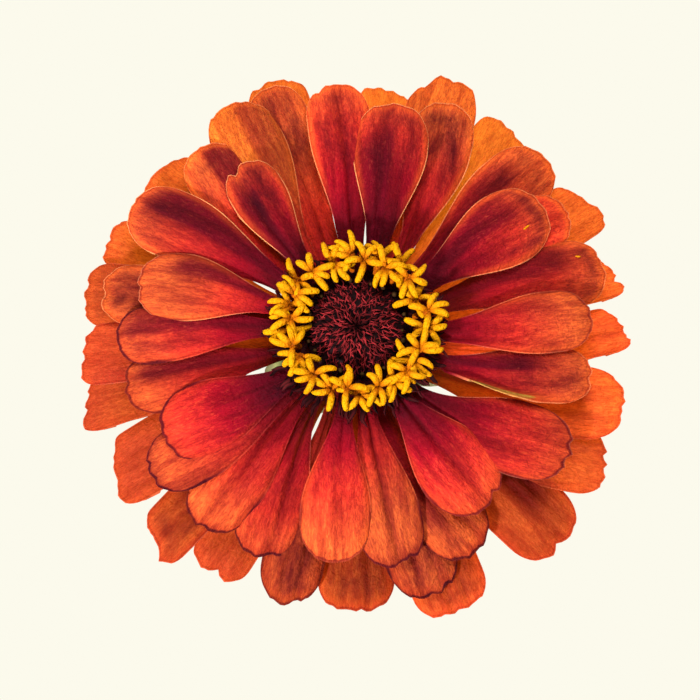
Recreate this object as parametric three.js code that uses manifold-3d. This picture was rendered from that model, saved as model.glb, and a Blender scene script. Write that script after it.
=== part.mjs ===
import * as THREE from "three";
import Module from "manifold-3d";
import { mergeVertices } from "three/addons/utils/BufferGeometryUtils.js";

// Zinnia flower head, face up, its stalk cut flush under the bract cup.
// Millimetres, +Z up, the cut face lies on z = 0 at the origin.

// Driving dimensions
const BLADE_THICK = 0.6;
const HEAD_RADIUS = 41;
const CROWN_HEIGHT = 7.0;
const TIP_HEIGHT = 1.0;
const ROOT_RADIUS = 8.2;
const COLLAR_RADIUS = 9.2;
const CUT_RADIUS = 3.5;
const CUP_TOP = 5.7;
const OUTER_TOP = 7.9;
const MIDDLE_TOP = 10.6;
const INNER_TOP = 12.7;
const RANK_GAP_ROOT = 0.75;
const RANK_GAP_FAR = 1.05;
const GROUP_GAP = 0.5;
const MIDDLE_CURL = 0.6;
const INNER_CURL = 1.6;
const CLAW_SHARE = 0.32;
const ARCH_DEPTH = 0.8;
const DISC_RADIUS = 7.5;
const RING_INNER = 7.9;
const RING_OUTER = 9.15;
const RING_TOP = 13.8;
const THROAT_HEIGHT = 15.0;
const FLORET_STEP = 1.0;
const LOBE_RADIUS = 0.5;
const SPIKE_COUNT = 72;
const SMOOTHING = 0.03;
const SEED = 20261;

// Petals: root azimuth, tip azimuth, reach, width, rank (0 lowest, 6 highest)
const PETALS = [
  [93, 95, 38.0, 9.4, 5],
  [77, 81, 34.8, 11.0, 6],
  [58, 69, 37.6, 10.3, 4],
  [66, 71.5, 42.0, 10.6, 2],
  [83, 83.5, 38.6, 8.8, 0],
  [45.5, 55.5, 39.6, 9.4, 0],
  [43.5, 43.5, 39.0, 10.9, 3],
  [35, 34.5, 33.2, 11.2, 6],
  [36, 30.5, 36.1, 9.1, 4],
  [28, 28.5, 40.6, 9.4, 0],
  [24, 15.5, 37.9, 10.3, 4],
  [-4, 4.5, 34.4, 9.1, 6],
  [12, 12, 39.7, 7.4, 0],
  [-9, 1.5, 39.3, 8.2, 1],
  [-22, -9.5, 34.9, 8.4, 5],
  [-39.5, -28, 35.8, 11.2, 5],
  [-29, -11.5, 40.5, 10.9, 1],
  [-30, -27, 40.9, 9.7, 0],
  [-58.5, -52.5, 31.8, 11.5, 6],
  [-48, -44.5, 42.6, 10.9, 0],
  [-71, -61, 36.1, 10.6, 3],
  [-83, -79.5, 34.6, 9.7, 5],
  [261.5, 264.5, 33.8, 10.3, 6],
  [270, 269.5, 39.6, 11.2, 0],
  [-75, -73.5, 39.5, 10.6, 2],
  [-72, -71, 42.4, 10.3, 0],
  [248, 255, 40.2, 9.1, 2],
  [241, 246.5, 35.4, 9.7, 3],
  [230, 231, 36.1, 10.0, 4],
  [223.5, 214, 36.3, 9.7, 5],
  [216.5, 208, 32.1, 10.6, 6],
  [197.5, 193, 34.6, 9.4, 4],
  [178.5, 181, 35.0, 8.8, 5],
  [162.5, 167, 32.8, 10.1, 6],
  [168, 169.5, 38.1, 9.1, 3],
  [169, 169.5, 40.7, 9.7, 1],
  [157, 157, 40.0, 7.9, 0],
  [147, 149.5, 38.3, 10.3, 5],
  [135.5, 137, 39.2, 9.4, 0],
  [136.5, 129, 36.4, 9.7, 4],
  [129, 124, 30.2, 8.2, 6],
  [119, 117.5, 40.0, 10.6, 3],
  [108.5, 108, 40.4, 9.1, 2],
  [112, 106.5, 41.5, 9.1, 0],
  [183, 183, 40.3, 9.1, 1],
  [194, 193.5, 41.0, 8.5, 0],
  [210, 210, 40.5, 10.3, 0],
  [227, 227.5, 42.0, 8.8, 0],
  [240, 240.5, 40.2, 9.1, 0],
];

// Florets: azimuth and radius of the throat, then the headings of its five lobes
const FLORETS = [
  [110, 9.7, 93, 130, -15, -52, -88],
  [129, 10.1, 100, 20, -20, -58, 154],
  [142, 10.7, 125, 195, 23, -28, 265],
  [153, 9.9, 147, 15, -28, -75, 100],
  [163.5, 10.0, 187, 150, 110, 225, 30],
  [174, 9.4, 160, 200, 40, -11, 270],
  [182.5, 9.9, 190, 228, -16, -63, 70],
  [198, 9.6, 182, 144, 43, 95, 265],
  [209, 9.2, 165, 203, 1, 241, 285],
  [230, 9.5, 113, 27, 214, 257, 170],
  [249, 9.9, 113, 151, 215, 272, 50],
  [262, 9.2, 67, 151, 109, 256, 0],
  [272, 10.0, 350, 30, 296, 245, 150],
  [289.5, 9.6, 118, 80, 40, 298, 241],
  [303, 9.6, 98, 245, 283, 321, 7],
  [317.5, 9.9, 153, 215, 275, 325, 60],
  [329, 9.6, 150, 195, 270, 308, 346],
  [339, 9.8, 131, 72, 30, 350, 190],
  [358, 10.2, 165, 205, 40, 357, 318],
  [11.5, 10.6, 169, 0, 38, 79, 270],
  [24.5, 9.4, 200, 66, 293, 20, 145],
  [42, 10.2, 17, 141, 282, 240, 335],
  [53.5, 10.9, 110, 70, 350, 180, 260],
  [63, 9.2, 268, 313, 216, 110, 30],
  [71, 10.4, 130, 85, 45, 188, 330],
  [83, 9.6, 266, 99, 60, 180, 340],
  [94, 10.4, 150, 190, 112, 74, 261],
];

// Bracts: count, turn, root radius, root height, tip radius, tip height, width
const BRACT_ROWS = [
  [8, 0, 4.6, 0.9, 9.6, 3.0, 5.6],
  [10, 17, 7.0, 2.2, 11.4, 4.3, 5.6],
  [11, 5, 8.0, 3.9, 13.2, 5.3, 5.6],
];

const RAD = Math.PI / 180;

// Repeatable random draws
let drawState = SEED;
function draw() {
  drawState = (drawState * 16807) % 2147483647;
  return drawState / 2147483647;
}

function between(low, high) {
  return low + (high - low) * draw();
}

function ease(x) {
  const t = Math.min(1, Math.max(0, x));
  return t * t * (3 - 2 * t);
}

function polar(azimuth, radius, z) {
  return new THREE.Vector3(radius * Math.cos(azimuth * RAD), radius * Math.sin(azimuth * RAD), z);
}

// Height of the lowest row over the radius: nearly level near the cup, drooping to the tips
function lowestRow(radius) {
  const rise = 0.4 * ease((radius - 9) / 5);
  const droop = Math.pow(Math.max(0, radius - 14) / (HEAD_RADIUS - 14), 1.8);
  return CROWN_HEIGHT - 0.4 + rise - (CROWN_HEIGHT - TIP_HEIGHT) * droop;
}

// Height of a petal's middle line at a radius, each rank lying above the one before
function petalHeight(radius, rank) {
  const far = ease((radius - 9) / 18);
  const gap = RANK_GAP_ROOT + (RANK_GAP_FAR - RANK_GAP_ROOT) * far;
  const groups = (rank >= 2 ? 1 : 0) + (rank >= 5 ? 1 : 0);
  return lowestRow(radius) + rank * gap + groups * GROUP_GAP;
}

// Middle line of a petal: leaves its root straight outward and swings to its tip
function petalLine(petal, s) {
  const [rootAzimuth, tipAzimuth, reach, , rank] = petal;
  const root = polar(rootAzimuth, ROOT_RADIUS, 0);
  const tip = polar(tipAzimuth, reach, 0);
  const swing = polar(rootAzimuth, ROOT_RADIUS + 0.45 * (reach - ROOT_RADIUS), 0);
  const a = (1 - s) * (1 - s);
  const b = 2 * s * (1 - s);
  const c = s * s;
  const x = a * root.x + b * swing.x + c * tip.x;
  const y = a * root.y + b * swing.y + c * tip.y;
  const stretch = rank < 2 ? HEAD_RADIUS / Math.max(reach, HEAD_RADIUS - 1) : 1;
  const drop = rank < 2 ? 0 : rank < 5 ? MIDDLE_CURL : INNER_CURL;
  const curl = drop * Math.pow(s, 4);
  return new THREE.Vector3(x, y, petalHeight(Math.hypot(x, y) * stretch, rank) - curl);
}

// Half width of a petal: narrow claw, broad blade, rounded or blunt end
function petalHalfWidth(petal, s) {
  const [, , reach, width, rank] = petal;
  const length = reach - ROOT_RADIUS;
  const blunt = rank < 2;
  const endLength = (blunt ? 0.62 : 1.05) * width / 2;
  const endStart = 1 - endLength / length;
  const body = CLAW_SHARE + (1 - CLAW_SHARE) * ease((s - 0.1) / 0.62);
  const t = Math.max(0, s - endStart) / (1 - endStart);
  const power = blunt ? 3.0 : 2.2;
  const end = Math.pow(Math.max(0, 1 - Math.pow(t, power)), 1 / power);
  return body * end * width / 2;
}

function petalStations(petal) {
  const [, , reach, width, rank] = petal;
  const endLength = (rank < 2 ? 0.62 : 1.05) * width / 2;
  const endStart = 1 - endLength / (reach - ROOT_RADIUS);
  const span = 1 - endStart;
  const body = [0, 0.2, 0.42, 0.64, endStart];
  return [...body, endStart + 0.5 * span, endStart + 0.82 * span, endStart + 0.97 * span];
}

// Closed skin from matching top and bottom rows of points
function rowsSkin(top, bottom) {
  const points = [];
  const rows = top.length;
  const cols = top[0].length;
  for (const row of top) points.push(...row);
  for (const row of bottom) points.push(...row);
  const at = (face, i, j) => face * rows * cols + i * cols + j;
  const faces = [];
  const quad = (a, b, c, d) => faces.push([a, b, c], [a, c, d]);
  for (let i = 0; i < rows - 1; i += 1) {
    for (let j = 0; j < cols - 1; j += 1) {
      quad(at(0, i, j), at(0, i + 1, j), at(0, i + 1, j + 1), at(0, i, j + 1));
      quad(at(1, i, j), at(1, i, j + 1), at(1, i + 1, j + 1), at(1, i + 1, j));
    }
    quad(at(0, i, 0), at(1, i, 0), at(1, i + 1, 0), at(0, i + 1, 0));
    quad(at(0, i, cols - 1), at(0, i + 1, cols - 1), at(1, i + 1, cols - 1), at(1, i, cols - 1));
  }
  for (let j = 0; j < cols - 1; j += 1) {
    quad(at(0, 0, j), at(0, 0, j + 1), at(1, 0, j + 1), at(1, 0, j));
    quad(at(0, rows - 1, j), at(1, rows - 1, j), at(1, rows - 1, j + 1), at(0, rows - 1, j + 1));
  }
  return { points, faces };
}

// Signed volume of a closed skin
function skinVolume(skin) {
  let six = 0;
  for (const [a, b, c] of skin.faces) {
    const p = skin.points[a];
    six += p.dot(skin.points[b].clone().cross(skin.points[c]));
  }
  return six / 6;
}

// Petal blade: an arched strip of even thickness with a small roll of its own
function petalSkin(petal) {
  const [, , , width, rank] = petal;
  const roll = between(-3, 3) * RAD;
  const notch = rank < 2 ? 0.9 : 0;
  const stations = petalStations(petal);
  const top = [];
  const bottom = [];
  for (const s of stations) {
    const ahead = petalLine(petal, Math.min(1, s + 0.01));
    const behind = petalLine(petal, Math.max(0, s - 0.01));
    const along = ahead.sub(behind).normalize();
    const side = new THREE.Vector3(-along.y, along.x, 0).normalize();
    const up = along.clone().cross(side);
    const middle = petalLine(petal, s);
    const half = petalHalfWidth(petal, s);
    const share = 2 * half / width;
    const arch = ARCH_DEPTH * (half / 5) * (half / 5);
    const twist = roll * share;
    const topRow = [];
    const bottomRow = [];
    for (const u of [-1, 0, 1]) {
      const rise = arch * (0.4 - u * u) + Math.sin(twist) * u * half;
      const point = middle.clone().addScaledVector(side, u * half * Math.cos(twist));
      point.addScaledVector(up, rise);
      if (s > 0.96 && u === 0) point.addScaledVector(along, -notch);
      topRow.push(point);
      bottomRow.push(point.clone().addScaledVector(up, -BLADE_THICK));
    }
    top.push(topRow);
    bottom.push(bottomRow);
  }
  return rowsSkin(top, bottom);
}

// Solid of revolution from radius and height pairs, bottom to top
function latheSkin(profile, sides, turn = 0) {
  const points = [];
  const faces = [];
  const rings = [];
  for (const [radius, z] of profile) {
    if (radius === 0) {
      rings.push([points.length]);
      points.push(new THREE.Vector3(0, 0, z));
    } else {
      const ring = [];
      for (let k = 0; k < sides; k += 1) {
        ring.push(points.length);
        points.push(polar(turn + 360 * k / sides, radius, z));
      }
      rings.push(ring);
    }
  }
  for (let i = 0; i < rings.length - 1; i += 1) {
    const low = rings[i];
    const high = rings[i + 1];
    for (let k = 0; k < sides; k += 1) {
      const n = (k + 1) % sides;
      if (low.length > 1 && high.length > 1) {
        faces.push([low[k], low[n], high[n]], [low[k], high[n], high[k]]);
      } else if (low.length > 1) {
        faces.push([low[k], low[n], high[0]]);
      } else if (high.length > 1) {
        faces.push([low[0], high[n], high[k]]);
      }
    }
  }
  return { points, faces };
}

// Ring with a square section
function ringSkin(inner, outer, low, high, sides) {
  const points = [];
  for (let k = 0; k < sides; k += 1) {
    const a = 360 * k / sides;
    points.push(polar(a, inner, low), polar(a, outer, low), polar(a, outer, high), polar(a, inner, high));
  }
  const faces = [];
  for (let k = 0; k < sides; k += 1) {
    const n = (k + 1) % sides;
    for (let e = 0; e < 4; e += 1) {
      const f = (e + 1) % 4;
      faces.push([4 * k + e, 4 * n + e, 4 * n + f], [4 * k + e, 4 * n + f, 4 * k + f]);
    }
  }
  return { points, faces };
}

// Tapered tube along a line of points, closed by a fan at each end
function tubeSkin(line, radii, sides) {
  const points = [];
  const faces = [];
  const count = line.length;
  for (let i = 0; i < count; i += 1) {
    const along = line[Math.min(count - 1, i + 1)].clone().sub(line[Math.max(0, i - 1)]).normalize();
    const upish = Math.abs(along.z) > 0.8 ? new THREE.Vector3(1, 0, 0) : new THREE.Vector3(0, 0, 1);
    const side = upish.clone().cross(along).normalize();
    const up = along.clone().cross(side);
    for (let k = 0; k < sides; k += 1) {
      const a = 2 * Math.PI * k / sides + Math.PI / 2;
      const point = line[i].clone();
      point.addScaledVector(side, radii[i] * Math.cos(a));
      point.addScaledVector(up, radii[i] * Math.sin(a));
      points.push(point);
    }
  }
  for (let i = 0; i < count - 1; i += 1) {
    for (let k = 0; k < sides; k += 1) {
      const n = (k + 1) % sides;
      const a = i * sides;
      const b = a + sides;
      faces.push([a + k, a + n, b + n], [a + k, b + n, b + k]);
    }
  }
  for (let k = 1; k < sides - 1; k += 1) {
    const last = (count - 1) * sides;
    faces.push([0, k + 1, k], [last, last + k, last + k + 1]);
  }
  return { points, faces };
}

// Star of recurved lobes round a throat, each lobe a kite with a raised ridge
function starSkin(throat, headings) {
  const sorted = headings.map((heading) => (heading + 720) % 360).sort((a, b) => a - b);
  const points = [throat.clone().setZ(throat.z - 0.1), throat.clone().setZ(throat.z - 0.9)];
  const faces = [];
  const add = (heading, distance, rise) => {
    points.push(throat.clone().add(polar(heading, distance, rise)));
    return points.length - 1;
  };
  const valleys = sorted.map((heading, i) => {
    const turn = (sorted[(i + 1) % sorted.length] - heading + 360) % 360;
    return add(heading + turn / 2, 0.5, -0.35);
  });
  sorted.forEach((heading, i) => {
    const length = between(2.6, 3.3);
    const spread = Math.atan2(LOBE_RADIUS, 0.62 * length) / RAD;
    const reach = Math.hypot(LOBE_RADIUS, 0.62 * length);
    const ridge = add(heading, 0.66 * length, 0.6);
    const keel = add(heading, 0.62 * length, -0.2);
    const right = add(heading - spread, reach, 0.15);
    const left = add(heading + spread, reach, 0.15);
    const tip = add(heading, length, -0.2);
    const from = valleys[(i + sorted.length - 1) % sorted.length];
    const onto = valleys[i];
    const rim = [from, right, tip, left, onto];
    faces.push([0, from, ridge], [0, ridge, onto], [1, keel, from], [1, onto, keel]);
    for (let k = 0; k < rim.length - 1; k += 1) {
      faces.push([ridge, rim[k], rim[k + 1]], [keel, rim[k + 1], rim[k]]);
    }
  });
  return { points, faces };
}

// Floret: a short tube rising from the ring under its star of lobes
function floretSkins(floret, index) {
  const [azimuth, radius, ...headings] = floret;
  const level = THROAT_HEIGHT + (index % 2) * FLORET_STEP;
  const foot = polar(azimuth, 8.6, INNER_TOP + 0.6);
  const throat = polar(azimuth, radius, level + between(-0.1, 0.1));
  const neck = throat.clone().setZ(throat.z - 0.45);
  return [tubeSkin([foot, neck], [0.45, 0.5], 4), starSkin(throat, headings)];
}

// Disc: a low dome with a dimple, set with chaff spikes that lean inward
function discSkins() {
  const profile = [
    [0, INNER_TOP], [DISC_RADIUS, INNER_TOP], [DISC_RADIUS, 13.0], [6.4, 13.8],
    [4.8, 14.9], [3.0, 15.5], [1.4, 15.4], [0, 15.0],
  ];
  const skins = [latheSkin(profile, 20)];
  for (let k = 0; k < SPIKE_COUNT; k += 1) {
    const azimuth = 137.5 * k;
    const radius = 1.3 + 4.4 * Math.sqrt((k + 0.5) / SPIKE_COUNT);
    const floor = 15.5 - 1.05 * Math.pow(Math.max(0, radius - 2.4) / 2.8, 1.6);
    const foot = polar(azimuth, radius, floor - 0.5);
    const tip = polar(azimuth + between(-14, 14), radius - between(0.2, 0.7), floor + between(0.7, 1.2));
    skins.push(tubeSkin([foot, tip], [0.5, 0.1], 3));
  }
  return skins;
}

// Bract: a rounded scale hugging the cup
function bractSkin(azimuth, row) {
  const [, , rootRadius, rootHeight, tipRadius, tipHeight, width] = row;
  const shares = [0, 0.62, 1];
  const widths = [0.8, 1, 0.4];
  const top = [];
  const bottom = [];
  for (let i = 0; i < shares.length; i += 1) {
    const s = shares[i];
    const radius = rootRadius + (tipRadius - rootRadius) * s;
    const bulge = 0.9 * Math.sin(Math.PI * s) * (1 - 0.4 * s);
    const z = rootHeight + (tipHeight - rootHeight) * s - bulge * 0.5;
    const topRow = [];
    const bottomRow = [];
    for (const u of [-1, 0, 1]) {
      const half = u * widths[i] * width / 2;
      const wrap = half / Math.max(radius, 1) / RAD;
      const point = polar(azimuth + wrap, radius, z + 0.25 * u * u);
      topRow.push(point);
      bottomRow.push(polar(azimuth + wrap, radius + 0.2, point.z - 0.6));
    }
    top.push(topRow);
    bottom.push(bottomRow);
  }
  return rowsSkin(top, bottom);
}

function cupSkins() {
  const profile = [
    [0, 0], [CUT_RADIUS, 0], [5.0, 0.5], [7.2, 1.8], [8.7, 3.6], [COLLAR_RADIUS, CUP_TOP], [0, CUP_TOP],
  ];
  const skins = [latheSkin(profile, 24)];
  for (const row of BRACT_ROWS) {
    const [count, turn] = row;
    for (let k = 0; k < count; k += 1) {
      skins.push(bractSkin(turn + 360 * k / count, row));
    }
  }
  return skins;
}

// Joining of closed skins into one body
const wasm = await Module();
wasm.setup();

function solid(skin) {
  const faces = skinVolume(skin) < 0 ? skin.faces.map(([a, b, c]) => [a, c, b]) : skin.faces;
  const vertProperties = new Float32Array(skin.points.length * 3);
  skin.points.forEach((point, i) => point.toArray(vertProperties, 3 * i));
  const triVerts = new Uint32Array(faces.flat());
  return new wasm.Manifold(new wasm.Mesh({ numProp: 3, vertProperties, triVerts }));
}

// Outer shells of a body, so that the closed pockets between its pieces are filled
function filled(body) {
  return wasm.Manifold.compose(body.decompose().filter((shell) => shell.volume() > 0));
}

function joined(skins) {
  const body = filled(wasm.Manifold.union(skins.map(solid)));
  return filled(body.asOriginal().simplify(SMOOTHING));
}

function meshOf(name, body, color, roughness) {
  const mesh = body.getMesh();
  const geometry = new THREE.BufferGeometry();
  geometry.setAttribute("position", new THREE.BufferAttribute(new Float32Array(mesh.vertProperties), 3));
  geometry.setIndex(new THREE.BufferAttribute(new Uint32Array(mesh.triVerts), 1));
  const merged = mergeVertices(geometry, 1e-5);
  merged.computeVertexNormals();
  const material = new THREE.MeshStandardMaterial({ color, roughness, metalness: 0 });
  material.name = name;
  const result = new THREE.Mesh(merged, material);
  result.name = name;
  return result;
}

function petalGroup(low, high, floor, ceiling) {
  const skins = [latheSkin([[0, floor], [COLLAR_RADIUS, floor], [COLLAR_RADIUS, ceiling], [0, ceiling]], 24)];
  for (const petal of PETALS) {
    if (petal[4] >= low && petal[4] <= high) skins.push(petalSkin(petal));
  }
  return joined(skins);
}

function ringOfFlorets() {
  const skins = [ringSkin(RING_INNER, RING_OUTER, INNER_TOP, RING_TOP, 24)];
  FLORETS.forEach((floret, index) => skins.push(...floretSkins(floret, index)));
  return joined(skins);
}

const flower = new THREE.Group();
flower.name = "zinnia_flower";
flower.add(meshOf("bract_cup", joined(cupSkins()), 0x6f8f45, 0.7));
flower.add(meshOf("outer_petals", petalGroup(0, 1, CUP_TOP, OUTER_TOP), 0xe0752a, 0.65));
flower.add(meshOf("middle_petals", petalGroup(2, 4, OUTER_TOP, MIDDLE_TOP), 0xd8452a, 0.65));
flower.add(meshOf("inner_petals", petalGroup(5, 6, MIDDLE_TOP, INNER_TOP), 0xc52a28, 0.65));
flower.add(meshOf("dark_disc", joined(discSkins()), 0x3a0d14, 0.8));
flower.add(meshOf("yellow_florets", ringOfFlorets(), 0xe8a80c, 0.6));

export default flower;
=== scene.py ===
"""Zinnia flower head: petals, florets, chaff and bract cup dressed on the CAD frame."""

import math

import bpy
import numpy as np
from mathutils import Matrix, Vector


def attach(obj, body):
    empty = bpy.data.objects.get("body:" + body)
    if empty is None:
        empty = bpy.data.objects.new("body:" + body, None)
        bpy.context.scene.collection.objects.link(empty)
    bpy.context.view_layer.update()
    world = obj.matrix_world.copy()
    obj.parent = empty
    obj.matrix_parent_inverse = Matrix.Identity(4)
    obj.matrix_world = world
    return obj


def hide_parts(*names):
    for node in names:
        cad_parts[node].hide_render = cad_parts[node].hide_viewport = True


bl_info = {
    "name": "Zinnia Flower",
    "version": (1, 0, 0),
    "blender": (4, 5, 0),
    "location": "3D View > Sidebar > Zinnia",
    "description": "Builds a zinnia flower head over its measured solids",
    "category": "Add Mesh",
}

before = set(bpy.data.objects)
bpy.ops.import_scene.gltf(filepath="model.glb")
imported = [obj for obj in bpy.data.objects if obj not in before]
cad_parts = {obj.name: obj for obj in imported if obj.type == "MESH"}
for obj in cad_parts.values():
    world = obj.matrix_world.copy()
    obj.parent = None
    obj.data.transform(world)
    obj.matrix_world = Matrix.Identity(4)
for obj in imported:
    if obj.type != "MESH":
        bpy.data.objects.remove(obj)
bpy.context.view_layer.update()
MM = 0.001

# Form shared with the solids, in millimetres
HEAD_RADIUS = 41.0
CROWN_HEIGHT = 7.0
TIP_HEIGHT = 1.0
ROOT_RADIUS = 8.2
COLLAR_RADIUS = 9.2
CUT_RADIUS = 3.5
CUP_TOP = 5.7
OUTER_TOP = 7.9
MIDDLE_TOP = 10.6
INNER_TOP = 12.7
RANK_GAP_ROOT = 0.75
RANK_GAP_FAR = 1.05
GROUP_GAP = 0.5
MIDDLE_CURL = 0.6
INNER_CURL = 1.6
CLAW_SHARE = 0.32
THROAT_HEIGHT = 15.0
FLORET_STEP = 1.0
SPIKE_COUNT = 72
SEED = 20261

# Ranks of the lowest rows, the rows between and the top rows
OUTER, MIDDLE, INNER = (0, 1), (2, 4), (5, 6)

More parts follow.
